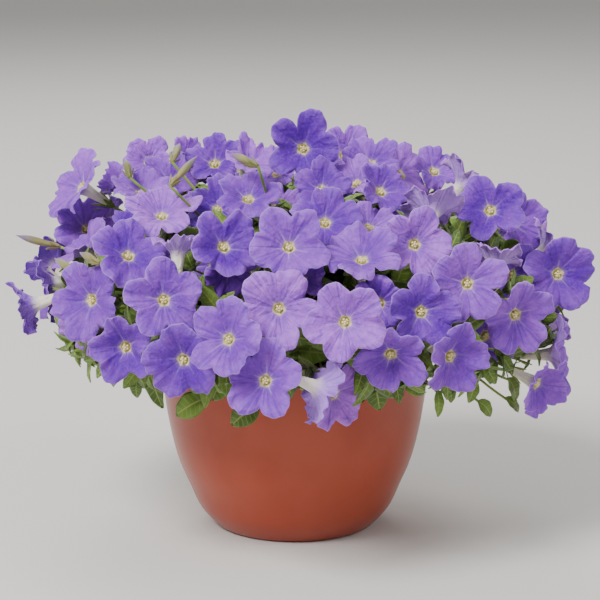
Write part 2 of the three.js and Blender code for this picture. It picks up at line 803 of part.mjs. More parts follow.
function leafIsClear(points) {
  return points.every((point) => !nearPot(point, leafRoom)
    && placed.every((other) => !touches(other, point, leafRoom)
      && other.stem.every((one) => one.distanceTo(point) > leafRoom + stalkRadius)));
}

// Leaves spread over the core by the golden angle, each as long as the blooms round it leave room for
const leafLattice = 60;
const leafSizes = [1, 0.85, 0.7, 0.56];
const leafLong = 47;
const leafWide = 0.46;
const leafLean = [1.1, 0.5];
function leavesOfCore() {
  const chance = randomFrom(11);
  const leaves = [];
  for (let index = 0; index < leafLattice; index += 1) {
    const { point, outward, height } = shellPoint(index, leafLattice, 0);
    const swing = chance() * 2 * Math.PI;
    const reach = chance();
    const stretch = 0.8 + 0.4 * chance();
    if (height < -0.35) continue;
    const base = intoCore(point, leafRoot);
    const around = vector(-Math.sin(swing), Math.cos(swing), 0.4 * Math.sin(3 * swing));
    const sideways = around.addScaledVector(outward, -around.dot(outward)).normalize();
    const ahead = outward.clone().addScaledVector(sideways, leafLean[0] * reach + leafLean[1] * (1 - reach));
    ahead.normalize();
    const up = outward.clone().addScaledVector(ahead, -outward.dot(ahead)).normalize();
    for (const size of leafSizes) {
      const length = leafLong * stretch * size;
      const shape = [base, ahead, up, length, length * leafWide];
      if (!leafIsClear(leafPoints(...shape))) continue;
      leaves.push(leafBlade(...shape));
      break;
    }
  }
  return leaves;
}

// Leaves and buds that show, by the picture places of their foot and their tip.
// Each hangs as far out as leaves it clear, and a thin stem joins it to the green mass.
const shown = (footX, footY, tipX, tipY, wide) => ({ footX, footY, tipX, tipY, wide });
const shownLeaves = [
  shown(206, 398, 176, 414, 17),
  shown(258, 404, 232, 424, 14),
  shown(300, 398, 281, 410, 12),
  shown(372, 376, 380, 409, 15),
  shown(226, 374, 212, 399, 16),
  shown(404, 376, 424, 393, 14),
  shown(150, 358, 160, 407, 12),
  shown(138, 378, 136, 397, 9),
  shown(118, 370, 112, 386, 7),
  shown(437, 390, 439, 416, 6),
  shown(484, 356, 493, 383, 12),
  shown(474, 380, 470, 402, 8),
  shown(478, 401, 492, 415, 9),
  shown(508, 378, 517, 401, 10),
  shown(505, 398, 520, 411, 7),
];
const shownBuds = [
  shown(258, 166, 230, 153, 6.5),
  shown(170, 186, 198, 155, 6),
  shown(130, 178, 125, 158, 6),
  shown(172, 162, 180, 143, 6.5),
  shown(60, 247, 15, 235, 6),
  shown(76, 272, 54, 258, 8),
  shown(100, 263, 79, 252, 8),
];
const hangOuts = [118, 124, 114, 130, 136, 142, 148, 154];
const budOuts = [4, 10, -4, 16, 22, -12, 28, 34];

// Where a line of sight meets an upright oval wall, out in front and wider to the sides
function meetWall(direction, out) {
  const scale = vector(1 / mound.across, 1 / out, 0);
  const start = eye.clone().sub(heart).multiply(scale);
  const slope = direction.clone().multiply(scale);
  const b = start.dot(slope);
  const root = Math.max(0, b * b - slope.dot(slope) * (start.dot(start) - 1));
  return along(eye, direction, (-b - Math.sqrt(root)) / slope.dot(slope));
}

function straight(from, to, parts) {
  const points = [];
  for (let part = 0; part <= parts; part += 1) points.push(from.clone().lerp(to, part / parts));
  return points;
}

function hangLeaf(entry) {
  for (const out of hangOuts) {
    const foot = meetWall(sight(entry.footX, entry.footY), out);
    const tip = meetWall(sight(entry.tipX, entry.tipY), out + 3);
    const ahead = tip.clone().sub(foot).normalize();
    const length = foot.distanceTo(tip) / (1 - leafArch * 0.5);
    const outward = vector((foot.x - mound.x) / mound.across ** 2, foot.y / out ** 2, 0.002).normalize();
    const up = outward.addScaledVector(ahead, -outward.dot(ahead)).normalize();
    const root = intoCore(foot, insideCore);
    const stem = straight(root, foot, 12);
    if (leafIsClear([...leafPoints(foot, ahead, up, length, entry.wide), ...stem])) {
      return leafBlade(foot, ahead, up, length, entry.wide, root);
    }
  }
  return null;
}

function hangBud(entry) {
  for (const out of budOuts) {
    const foot = meetMound(sight(entry.footX, entry.footY), out);
    const tip = meetMound(sight(entry.tipX, entry.tipY), out + 4);
    const root = intoCore(foot, insideCore);
    const path = [...straight(root, foot, 14), ...straight(foot, tip, 6)];
    if (!leafIsClear(path)) continue;
    const ahead = tip.clone().sub(foot).normalize();
    const side = vector(0, 0, 1).cross(ahead).normalize();
    const top = ahead.clone().cross(side);
    const ring = (middle, radius) => {
      const points = [];
      for (let i = 0; i < stalkSides; i += 1) {
        const point = along(middle, side, radius * Math.cos(i * 72 * degree));
        points.push(point.addScaledVector(top, radius * Math.sin(i * 72 * degree)));
      }
      return points;
    };
    return skin([
      ring(root, 1.2),
      ring(foot, 1.4),
      ring(foot.clone().lerp(tip, 0.6), entry.wide / 2),
      [tip],
    ]);
  }
  return null;
}

const singles = placed.filter((bloom) => bloom.spray === 0);
const sprayNames = [...new Set(placed.map((bloom) => bloom.spray))].filter((name) => name > 0);
const nodes = [];

function knotAt(root, radius) {
  const knot = new THREE.OctahedronGeometry(radius, 0);
  knot.translate(root.x, root.y, root.z);
  return solidOf(knot);
}

for (const name of sprayNames) {
  const members = placed.filter((bloom) => bloom.spray === name);
  const root = sprayRoots.get(name);
  const pieces = [knotAt(root, knotRadius)];
  const cutters = [knotAt(root, knotRadius + clearance)];
  for (const bloom of members) {
    pieces.push(stalkedBloom(bloom, bloom.curve));
    cutters.push(stalkedBloom(bloom, bloom.curve, clearance));
  }
  nodes.push({ name: 'spray', solid: joinAll(pieces), cutter: joinAll(cutters), tint: members[0].tint });
}

const green = [makeCore(), cylinder(crownRadius, soilTop - 28, mound.z + 10, 10)];
const blooms = [];
for (const bloom of singles) {
  green.push(calyxAndStalk(bloom, bloom.curve));
  blooms.push({ name: 'bloom', solid: corolla(bloom), cutter: corolla(bloom, clearance), tint: bloom.tint });
}

nodes.unshift(...blooms);

const group = new THREE.Group();
function addPiece(name, geometry, colour, roughness) {
  const material = new THREE.MeshStandardMaterial({ color: colour, roughness, metalness: 0 });
  const mesh = new THREE.Mesh(geometry, material);
  mesh.name = name;
  group.add(mesh);
}

const hung = [...shownLeaves.map(hangLeaf), ...shownBuds.map(hangBud)];
const leaves = [...leavesOfCore(), ...hung.filter((one) => one)];
let foliage = joinAll([...green, ...leaves]);
for (const node of nodes) foliage = foliage.subtract(node.cutter).subtract(node.solid);

addPiece('pot', geometryOf(makePot()), '#9e5041', 0.25);
addPiece('potting_soil', geometryOf(makeSoil()), '#3b2a20', 0.95);
addPiece('foliage', largestBody(foliage), '#4f5a1c', 0.6);
const counts = { bloom: 0, spray: 0 };
for (const node of nodes) {
  counts[node.name] += 1;
  const number = String(counts[node.name]).padStart(2, '0');
  const violet = new THREE.Color('#5f45a8').lerp(new THREE.Color('#b9a3dc'), node.tint);
  addPiece(`${node.name}_${number}`, largestBody(node.solid), violet, 0.6);
}

export default group;
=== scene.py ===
# %% [markdown]
# # A potted spreading petunia
#
# The real thing is a mound of some ninety five-lobed trumpet blooms over soft green growth, in a glazed
# round planter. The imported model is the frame: it says where every bloom, the pot and the soil sit.
# This lesson reads those places back from the frame and grows a finer piece on each of them.

# %% Load the frame
import math

import bpy
import numpy as np
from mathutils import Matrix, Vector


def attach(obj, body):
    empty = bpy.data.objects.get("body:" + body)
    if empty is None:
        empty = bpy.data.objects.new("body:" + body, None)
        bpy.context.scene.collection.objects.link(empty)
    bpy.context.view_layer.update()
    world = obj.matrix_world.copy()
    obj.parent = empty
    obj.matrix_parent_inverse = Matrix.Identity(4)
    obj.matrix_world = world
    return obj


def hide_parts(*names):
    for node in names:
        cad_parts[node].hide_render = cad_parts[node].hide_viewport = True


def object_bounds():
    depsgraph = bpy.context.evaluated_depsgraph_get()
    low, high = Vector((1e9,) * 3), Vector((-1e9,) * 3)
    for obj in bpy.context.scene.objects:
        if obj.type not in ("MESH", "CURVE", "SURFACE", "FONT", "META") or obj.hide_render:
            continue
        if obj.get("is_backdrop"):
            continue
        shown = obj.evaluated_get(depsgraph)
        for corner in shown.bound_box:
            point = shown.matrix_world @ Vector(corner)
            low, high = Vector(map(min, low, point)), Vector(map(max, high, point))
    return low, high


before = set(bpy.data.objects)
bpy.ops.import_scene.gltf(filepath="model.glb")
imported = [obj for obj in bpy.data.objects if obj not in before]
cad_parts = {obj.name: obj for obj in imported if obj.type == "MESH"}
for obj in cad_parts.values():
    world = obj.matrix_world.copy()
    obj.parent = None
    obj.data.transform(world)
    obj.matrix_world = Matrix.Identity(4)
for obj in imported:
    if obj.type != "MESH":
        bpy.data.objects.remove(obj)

cad_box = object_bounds()
MM = 0.001


def short(corner):
    """A corner of a box, rounded to a millimetre for print."""
    return [round(v, 3) for v in corner]


print(len(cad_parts), "nodes, from", short(cad_box[0]), "to", short(cad_box[1]))

# %% [markdown]
# ## Colours and nodes
#
# Colours are given as sRGB hex values, but the shader wants light that adds up, so one function
# turns them linear. Materials are trees of nodes: one function fills a node's sockets, one adds a node.

# %% Colour and node helpers
def linear(code):
    """Hex sRGB to linear RGBA: c / 12.92 up to 0.04045, and ((c + 0.055) / 1.055) ** 2.4 above it."""
    parts = np.array([int(code[i:i + 2], 16) for i in (1, 3, 5)]) / 255
    light = np.where(parts <= 0.04045, parts / 12.92, ((parts + 0.055) / 1.055) ** 2.4)
    return (*light.tolist(), 1.0)


def fill(tree, node, inputs):
    """Fills a node's input sockets, given by name or number or as a row in their order: a socket of another
    node is linked, a hex colour is turned linear, and anything else is the socket's own value."""
    for name, value in (inputs if isinstance(inputs, dict) else dict(enumerate(inputs))).items():
        if isinstance(value, bpy.types.NodeSocket):
            tree.links.new(value, node.inputs[name])
        else:
            node.inputs[name].default_value = linear(value) if isinstance(value, str) else value


def add(tree, kind, inputs=(), **settings):
    """Adds a node to a tree, with its settings and inputs, and returns its outputs."""
    node = tree.nodes.new("ShaderNode" + kind)
    for name, value in settings.items():
        setattr(node, name, value)
    fill(tree, node, inputs)
    return node.outputs


print("terracotta #a2412a is", [round(c, 3) for c in linear("#a2412a")[:3]], "in linear light")

# %% [markdown]
# Nearly every finish here is a ground colour with thinner colours laid over it, as a painter glazes: veins
# over a petal, specks over clay. Each layer covers where a pattern's value passes a range. Keeping the
# layers as rows of a list, from the lowest to the topmost, makes a finish easy to read and to tune.

# %% Layers of colour
smooth = {"interpolation_type": "SMOOTHSTEP"}


def new_material(name):
    """A material with an empty principled shader: returns it, its tree and the shader."""
    material = bpy.data.materials.new(name)
    material.use_nodes = True
    tree = material.node_tree
    return material, tree, tree.nodes["Principled BSDF"]


def layered(tree, colour, layers):
    """Colour with layers over it. A layer (value, low, high, start, end, over) covers by a share that runs
    smoothly from start to end while value runs from low to high. (share, over) takes the share as it is."""
    for *ramp, over in layers:
        share = ramp[0] if len(ramp) == 1 else add(tree, "MapRange", ramp, **smooth)[0]
        colour = add(tree, "Mix", {0: share, 6: colour, 7: over}, data_type="RGBA")[2]
    return colour


print("layers ease in and out by", smooth["interpolation_type"].lower())

# %% [markdown]
# ## Meshes from rings
#
# A petal, a leaf, a stalk, the pot and the soil are all one kind of thing: rings of points that follow
# each other along a line, closed by one point at each end. So one function turns an array of rings,
# for one piece or for hundreds at once, into a closed mesh whose faces look outwards.

# %% Rings to faces
def ring_faces(rows, columns):
    """Faces of one tube of rings. Quads join ring r to r + 1, and triangles close both ends
    on two more points, numbered rows * columns and rows * columns + 1."""
    row, column = np.meshgrid(np.arange(rows - 1), np.arange(columns), indexing="ij")
    here = (row * columns + column).ravel()
    beside = (row * columns + (column + 1) % columns).ravel()
    quads = np.stack([here, beside, beside + columns, here + columns], 1)
    i = np.arange(columns)
    j = (i + 1) % columns
    last = (rows - 1) * columns
    start = np.stack([j, i, np.full(columns, rows * columns)], 1)
    end = np.stack([last + i, last + j, np.full(columns, rows * columns + 1)], 1)
    return quads, np.concatenate([start, end])


def lofts(rings, values=None):
    """Points, quads, triangles and point values of many tubes of rings.
    rings has the shape (pieces, rows, columns, 3) in mm; values maps a name to (pieces, rows, columns, n)."""
    pieces, rows, columns, _ = rings.shape
    quads, triangles = ring_faces(rows, columns)

    def with_ends(array):
        """An array over the rings in one row, with the mean of the first and of the last ring added."""
        flat = array.reshape(pieces, rows * columns, -1)
        ends = np.stack([array[:, 0].mean(1), array[:, -1].mean(1)], 1)
        return np.concatenate([flat, ends], 1).reshape(pieces * (rows * columns + 2), -1)

    step = (np.arange(pieces) * (rows * columns + 2))[:, None, None]
    told = {name: with_ends(array) for name, array in (values or {}).items()}
    return with_ends(rings), (quads + step).reshape(-1, 4), (triangles + step).reshape(-1, 3), told


def merged(parts):
    """Several results of lofts as one."""
    starts = np.cumsum([0] + [len(part[0]) for part in parts])
    points = np.concatenate([part[0] for part in parts])
    quads = np.concatenate([part[1] + start for part, start in zip(parts, starts)])
    triangles = np.concatenate([part[2] + start for part, start in zip(parts, starts)])
    told = {name: np.concatenate([part[3][name] for part in parts]) for name in parts[0][3]}
    return points, quads, triangles, told


quads, triangles = ring_faces(5, 6)
print("one tube of 5 rings by 6 has", len(quads), "quads and", len(triangles), "triangles")

# %% [markdown]
# A stalk is a tube of rings along a path. Each ring needs two directions square to the path there. The
# first is a fixed direction with its part along the path taken out, and the second is square to both.

# %% Directions and tubes
off_axis = np.array([0.31, 0.87, 0.38])


def unit(vectors):
    """Vectors of length 1: v / |v|."""
    return vectors / np.linalg.norm(vectors, axis=-1, keepdims=True)


def square_to(line, vectors):
    """Vectors with their part along a line taken out, of length 1: v - (v . line) line."""
    return unit(vectors - (vectors * line).sum(-1, keepdims=True) * line)


def round_turn(count):
    """Angles evenly spread over a full turn: i * 2 pi / count."""
    return np.arange(count) * 2 * np.pi / count


def spokes(angle, first, second):
    """Directions round a line: cos(angle) * first + sin(angle) * second."""
    return np.cos(angle)[..., None] * first + np.sin(angle)[..., None] * second


def tubes(paths, radius, columns=7):
    """Rings round many paths (pieces, rows, 3): path + radius * spokes. Each row may have its own radius."""
    ahead = unit(np.gradient(paths, axis=1))
    first = square_to(ahead, unit(np.cross(ahead[:, :1], off_axis) + 0 * ahead))
    second = np.cross(ahead, first)
    radius = np.broadcast_to(radius, paths.shape[:2])[:, :, None, None]
    around = spokes(round_turn(columns)[None, None], first[:, :, None], second[:, :, None])
    return paths[:, :, None] + radius * around


print("a ring of 5 turns by", math.degrees(round_turn(5)[1]).__round__(1), "degrees a step")

# %% [markdown]
# The arrays go into a mesh in one stroke with foreach_set, which is hundreds of times faster than a loop
# over points. Values on the points, such as the place along a leaf, are kept as attributes for the
# materials. Every piece of this plant rides on the one fixed body and hides the frame's nodes that it
# replaces.

# %% Arrays to a piece
def make_piece(name, shape, material, replaced):
    """Object from the result of lofts, placed in its mesh, riding on the fixed body."""
    points, quads, triangles, told = shape
    mesh = bpy.data.meshes.new(name)
    mesh.vertices.add(len(points))
    mesh.vertices.foreach_set("co", (points * MM).astype(np.float32).ravel())
    corners = np.concatenate([quads.ravel(), triangles.ravel()])
    sizes = np.concatenate([np.full(len(quads), 4), np.full(len(triangles), 3)])
    mesh.loops.add(len(corners))
    mesh.loops.foreach_set("vertex_index", corners)
    mesh.polygons.add(len(sizes))
    mesh.polygons.foreach_set("loop_start", np.concatenate([[0], np.cumsum(sizes)[:-1]]))
    mesh.polygons.foreach_set("use_smooth", np.ones(len(sizes), bool))
    for key, array in told.items():
        kind, field = ("FLOAT_VECTOR", "vector") if array.shape[1] == 3 else ("FLOAT", "value")
        store = mesh.attributes.new(key, kind, "POINT")
        store.data.foreach_set(field, array.astype(np.float32).ravel())
    mesh.update(calc_edges=True)
    mesh.validate()
    piece = bpy.data.objects.new(name, mesh)
    bpy.context.scene.collection.objects.link(piece)
    mesh.materials.append(material)
    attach(piece, "root")
    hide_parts(*replaced)
    return piece


def triangles_of(piece):
    """Number of triangles that a piece's faces make."""
    return sum(len(face.vertices) - 2 for face in piece.data.polygons)


print("the frame's pot has", triangles_of(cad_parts["pot"]), "triangles")

# %% [markdown]
# ## Camera, floor and light
#
# The camera stands where the photograph was taken from: nearly two metres in front of the pot and a
# little over half a metre up, looking 12 degrees down through a long lens. Lamps and a pale sky stand
# for the cloudy daylight that keeps petals from going flat.

# %% Camera
eye = np.array([4.0, -1896.0, 580.0])
look_down = math.radians(12)
camera_data = bpy.data.cameras.new("camera")
camera_data.lens = 150
camera_data.sensor_width = 36
camera_data.clip_end = 50
camera = bpy.data.objects.new("camera", camera_data)
camera.location = eye * MM
camera.rotation_euler = (math.radians(90) - look_down, 0, 0)
bpy.context.scene.collection.objects.link(camera)
bpy.context.scene.camera = camera
print("camera at", short(camera.location))

# %% [markdown]
# The floor is one pale matt square, large enough to run out of the picture. It is staged, so that it
# isn't counted as a part of the plant.

# %% Floor
floor_half = 9
floor_material, tree, shader = new_material("pale_floor")
fill(tree, shader, {"Base Color": "#dcdad6", "Roughness": 0.8})
floor_corners = [(floor_half * x, floor_half * y, 0) for x, y in ((-1, -1), (1, -1), (1, 1), (-1, 1))]
floor_mesh = bpy.data.meshes.new("floor")
floor_mesh.from_pydata(floor_corners, [], [(0, 1, 2, 3)])
floor_mesh.materials.append(floor_material)
floor = bpy.data.objects.new("floor", floor_mesh)
bpy.context.scene.collection.objects.link(floor)
floor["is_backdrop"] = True
print("floor is", 2 * floor_half, "m wide")

# %% [markdown]
# One big lamp from the front left gives the form, a weaker one from the right lifts its shadows, and one
# behind draws the far rims. They are wide, so their shadows are as soft as those of a clouded sky.

# %% Lamps and sky
plant_middle = Vector((0, 0, 0.2))


def soft_lamp(name, place, size, power):
    """Square area lamp that looks at the middle of the plant."""
    data = bpy.data.lights.new(name, "AREA")
    data.size = size
    data.energy = power
    lamp = bpy.data.objects.new(name, data)
    lamp.location = place
    lamp.rotation_euler = (lamp.location - plant_middle).to_track_quat("Z", "Y").to_euler()
    bpy.context.scene.collection.objects.link(lamp)


soft_lamp("window_front_left", (-1.3, -1.7, 2.4), 1.2, 130)
soft_lamp("window_right", (2.0, -0.9, 1.8), 1.4, 24)
soft_lamp("window_back", (-0.4, 2.2, 2.2), 1.6, 44)

sky = bpy.data.worlds.new("pale_sky")
sky.use_nodes = True
fill(sky.node_tree, sky.node_tree.nodes["Background"], ("#f4f2f0", 0.4))
bpy.context.scene.world = sky
print(len(bpy.data.lights), "lamps, and a sky of strength 0.4")

# %% [markdown]
# ## The pot
#
# A planter like this is slip-cast or jiggered clay under a clear terracotta-coloured glaze. Its wall
# swells out fast above a small foot and then stands nearly straight up to a plain rounded lip. A Screw
# modifier could turn it, but a profile carried round the axis with numpy keeps every radius a number
# in millimetres. Two helpers draw the profile: one a smooth wall through a few points, one soft corners.

# %% Smooth lines and soft corners
def through(points, steps):
    """Smooth line through points: on each stretch the cubic that leaves and reaches it along half the
    way between its neighbours, with the ends held."""
    padded = np.concatenate([points[:1], points, points[-1:]])
    share = np.linspace(0, len(points) - 1, steps)
    index = np.minimum(share.astype(int), len(points) - 2)
    t = (share - index)[:, None]
    a, b, c, d = padded[index], padded[index + 1], padded[index + 2], padded[index + 3]
    v, w = (c - a) / 2, (d - b) / 2
    return (2 * b - 2 * c + v + w) * t ** 3 + (3 * c - 3 * b - 2 * v - w) * t ** 2 + v * t + b


def rounded(profile, radius, steps=5):
    """Profile with each inner corner cut back by radius and rounded by a parabola."""
    line = [profile[0]]
    for before, corner, after in zip(profile[:-2], profile[1:-1], profile[2:]):
        into, out = before - corner, after - corner
        reach = min(radius, 0.45 * np.linalg.norm(into), 0.45 * np.linalg.norm(out))
        start = corner + into / np.linalg.norm(into) * reach
        end = corner + out / np.linalg.norm(out) * reach
        for t in np.linspace(0, 1, steps):
            line.append((1 - t) ** 2 * start + 2 * t * (1 - t) * corner + t * t * end)
    line.append(profile[-1])
    return np.array(line)


stairs = np.array([[0, 0], [1, 0], [2, 1], [3, 1]])
print("a smooth line over a step of 1 passes its middle at", through(stairs, 7)[3, 1])

# %% [markdown]
# The profile runs from the axis under the foot up the outside, over the lip, down the inside and back to
# the axis on the floor. It stops a hair short of the axis, where the loft closes it by a point.

# %% Pot profile
pot_height, rim_radius, foot_radius = 150.0, 107.0, 61.0
wall, floor_thickness, lip_height, lip_out = 5.0, 6.0, 11.0, 2.6
inside_corner, axis_gap = 9.0, 0.3
side_points = np.array([
    [foot_radius, 0], [foot_radius + 13.5, 15], [82.5, 32], [92.5, 57], [100, 92],
    [rim_radius - 1, pot_height - lip_height],
])
outer_side = through(side_points, 30)
inner_side = outer_side[outer_side[:, 1] > floor_thickness + inside_corner][::-1] - np.array([wall, 0])
lip = np.array([
    outer_side[-1], [rim_radius + lip_out - 0.6, pot_height - lip_height + 1.2],
    [rim_radius + lip_out + 0.3, pot_height - 5], [rim_radius + lip_out - 0.4, pot_height],
    [rim_radius - wall + 1.0, pot_height], [rim_radius - wall, pot_height - 3.4], inner_side[0],
])
foot = np.array([
    [axis_gap, 0], [foot_radius - 7, 0], [foot_radius - 5, 0.6], [foot_radius - 1.5, 0], outer_side[1],
])
bottom = np.array([
    [foot_radius + 2, floor_thickness + 3], [foot_radius - 3, floor_thickness], [axis_gap, floor_thickness],
])
pot_profile = np.concatenate([
    rounded(foot, 1.5)[:-1], outer_side[1:-1], rounded(lip, 1.6)[1:-1], inner_side, bottom,
])
print("pot profile of", len(pot_profile), "points, widest at", round(float(pot_profile[:, 0].max()), 1), "mm")

# %% [markdown]
# ### Glaze
#
# Glazed earthenware: a thin glassy coat over coloured clay, fired smooth. The eye gets a broad soft
# highlight from the window, a warm brick colour in soft patches that is a little darker towards the
# bottom, and fine specks where the clay shows through.

# %% Glazed earthenware
glaze, tree, shader = new_material("glazed_terracotta_earthenware")
place = add(tree, "TexCoord")["Object"]
speck_size, pool_size, ripple_size = 1.6 * MM, 60 * MM, 25 * MM
dark_up_to = 90 * MM
specks = add(tree, "TexNoise", {"Vector": place, "Scale": 1 / speck_size, "Detail": 2.0})[0]
pools = add(tree, "TexNoise", {"Vector": place, "Scale": 1 / pool_size, "Detail": 3.0})[0]
ripple = add(tree, "TexNoise", {"Vector": place, "Scale": 1 / ripple_size, "Detail": 1.0})[0]
height = add(tree, "SeparateXYZ", (place,))[2]
clay = layered(tree, "#a2412a", [
    (pools, 0.35, 0.65, 0.0, 1.0, "#aa4b33"),
    (height, 0.0, dark_up_to, 0.45, 0.0, "#8d3a27"),
    (specks, 0.66, 0.78, 0.0, 0.35, "#7c3322"),
])
fill(tree, shader, {
    "Base Color": clay, "Roughness": 0.4, "IOR": 1.45, "Specular IOR Level": 0.2,
    "Coat Weight": 0.35, "Coat Roughness": 0.05,
    "Normal": add(tree, "Bump", {"Height": ripple, "Strength": 0.12, "Distance": 0.6 * MM})[0],
})
print("glaze has", len(tree.nodes), "nodes")

# %% [markdown]
# ### Turning and boring
#
# The holes could be cut out of the grid of rings, but a Boolean with three short rods leaves a clean round
# edge and no stretched faces. Its result is kept as the pot's own mesh, and the rods are deleted.

# %% Pot with its drain holes
drain_radius, drain_circle, drains = 5.0, 34.0, 3


def turned(profile, columns):
    """Rings of a turned form: radius * (cos a, sin a) at each height of the profile."""
    angle = round_turn(columns)
    radius, height = profile[:, 0][:, None], profile[:, 1][:, None]
    rings = np.stack([radius * np.cos(angle), radius * np.sin(angle), height + 0 * angle], -1)
    return rings[None]


pot = make_piece("pot_glazed", lofts(turned(pot_profile, 120)), glaze, ["pot"])
drill_angles = (np.arange(drains) + 0.25) / drains * 2 * np.pi
drill_line = np.array([[drain_radius, -2.0], [drain_radius, floor_thickness + 4.0]])
drill_rings = np.concatenate([turned(drill_line, 24) for _ in drill_angles])
drill_rings[..., 0] += (drain_circle * np.cos(drill_angles))[:, None, None]
drill_rings[..., 1] += (drain_circle * np.sin(drill_angles))[:, None, None]
drill = make_piece("drill", lofts(drill_rings), glaze, [])
bore = pot.modifiers.new("bore", "BOOLEAN")
bore.object = drill
bore.operation = "DIFFERENCE"
bore.solver = "EXACT"
bpy.context.view_layer.update()
bored = bpy.data.meshes.new_from_object(pot.evaluated_get(bpy.context.evaluated_depsgraph_get()))
pot.modifiers.clear()
pot.data = bored
bpy.data.objects.remove(drill)
print("pot has", triangles_of(pot), "triangles")

# %% [markdown]
# ## The soil
#
# Moist peat-based mix fills the pot to just under the lip, with a plain hole for the crown. It is a
# turned plug that stands a little clear of the wall, with its top pushed up and down by waves.

# %% Soil plug
soil_top, crown_radius, soil_gap = 137.0, 11.0, 0.6
soil_rim = rim_radius - wall - 3 * soil_gap
top_rows = np.linspace(soil_rim - 4, crown_radius + 1.5, 26)
side_height = outer_side[:, 1]
soil_side = outer_side[(side_height > floor_thickness + inside_corner) & (side_height < soil_top - 4)]
soil_profile = np.concatenate([
    [[axis_gap, floor_thickness + soil_gap], [foot_radius - 3.6, floor_thickness + soil_gap]],
    [[foot_radius + 1.2, floor_thickness + 3 + soil_gap]],
    soil_side - np.array([wall + soil_gap, 0]),
    [[soil_rim, soil_top - 2.5]],
    np.stack([top_rows, np.full(26, soil_top)], 1),
    [[crown_radius + 0.4, soil_top - 3], [crown_radius + 0.3, soil_top - 20], [axis_gap, soil_top - 20.5]],
])
soil_rings = turned(soil_profile, 90)
x, y = soil_rings[..., 0], soil_rings[..., 1]
crumbs = np.sin(x * 0.9 + 1.7 * np.sin(y * 0.53)) * np.cos(y * 1.1 + 1.3 * np.sin(x * 0.37))
surface = (soil_rings[..., 2] > soil_top - 1) & (np.hypot(x, y) > crown_radius + 1)
soil_rings[..., 2] += np.where(surface, 0.8 * crumbs - 0.6, 0)
print("soil has", soil_rings.shape[1], "rings of", soil_rings.shape[2], "points")

# %% [markdown]
# Peat mix is dark, damp and dull, a tumble of brown crumbs about three millimetres wide. Crumbs that
# small don't need a mesh of their own: noise in two browns with a strong bump gives them.

# %% Moist peat mix
crumb_size = 3 * MM
peat, tree, shader = new_material("moist_peat_mix")
place = add(tree, "TexCoord")["Object"]
grain = add(tree, "TexNoise", {"Vector": place, "Scale": 1 / crumb_size, "Detail": 4.0, "Roughness": 0.7})[0]
fill(tree, shader, {
    "Base Color": layered(tree, "#241a13", [(grain, 0.35, 0.7, 0.0, 1.0, "#57412f")]),
    "Normal": add(tree, "Bump", {"Height": grain, "Strength": 0.9, "Distance": 1.2 * MM})[0],
    "Roughness": 0.95,
})
soil = make_piece("soil_fill", lofts(soil_rings), peat, ["potting_soil"])
print("soil has", triangles_of(soil), "triangles")

# %% [markdown]
# ## Reading the blooms back
#
# Every bloom of the frame is a simple five-lobed funnel whose pit is one point with five neighbours,
# each the same known distance away. Finding those points gives each bloom's centre, the way that it
# faces, how far it is rolled round, its size and how far its rim stands forward.

# %% Find the blooms in the frame
throat_radius, throat_depth, pit_depth, tube_length = 4.8, 8.5, 17.0, 35.0
notch_depth, lobe_half, lobe_fullness = 0.15, math.radians(19), 0.6
rim_ruffle = 0.5


def welded(node):
    """Points of a CAD node in mm with doubles made one, and its triangles by their numbers."""
    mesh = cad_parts[node].data
    points = np.empty(len(mesh.vertices) * 3)
    mesh.vertices.foreach_get("co", points)
    corners = np.empty(len(mesh.loops), int)
    mesh.loops.foreach_get("vertex_index", corners)
    places, number = np.unique(np.round(points.reshape(-1, 3) / MM, 3), axis=0, return_inverse=True)
    return places, number.reshape(-1)[corners].reshape(-1, 3)


def blooms_in(node):
    """One row for each bloom of a node: centre, facing, side, top, radius, cup and roll. A single bloom's
    farthest points stand beside its lobes' middles, so its radius is a little more than theirs."""
    places, faces = welded(node)
    edges = np.unique(np.sort(faces[:, [0, 1, 1, 2, 2, 0]].reshape(-1, 2), axis=1), axis=0)
    ways = np.concatenate([edges, edges[:, ::-1]])
    length = np.linalg.norm(places[ways[:, 0]] - places[ways[:, 1]], axis=1)
    right = abs(length - math.hypot(throat_radius, pit_depth - throat_depth)) < 0.05
    count = np.bincount(ways[:, 0], minlength=len(places))
    hits = np.bincount(ways[right, 0], minlength=len(places))
    beside_middle = 1 - notch_depth * (1 - math.cos(2.5 * lobe_half) ** lobe_fullness)
    widest = 1 if node.startswith("spray") else beside_middle
    rows = []
    for pit in np.flatnonzero((count == 5) & (hits == 5)):
        ring = ways[ways[:, 0] == pit, 1]
        facing = unit(places[ring].mean(0) - places[pit])
        centre = places[pit] + pit_depth * facing
        side = unit(np.cross([0, 0, 1], facing))
        top = np.cross(facing, side)
        spoke = places[ring[0]] - centre
        roll = math.atan2(spoke @ top, spoke @ side) % math.radians(72)
        rim = places[np.unique(ways[np.isin(ways[:, 0], ring), 1])] - centre
        radial = np.hypot(rim @ side, rim @ top)
        rim, radial = rim[radial > 10], radial[radial > 10]
        cup = (rim @ facing)[radial.argmin()] + rim_ruffle
        rows.append([*centre, *facing, *side, *top, radial.max() / widest, cup, roll])
    return np.array(rows)


print("the first bloom stands at", blooms_in("bloom_01")[0, :3].round(1), "mm")

# %% [markdown]
# All blooms of all nodes go into one table, a row each, so that everything later is worked out for the
# whole plant at once. node_of remembers which node each bloom came from.

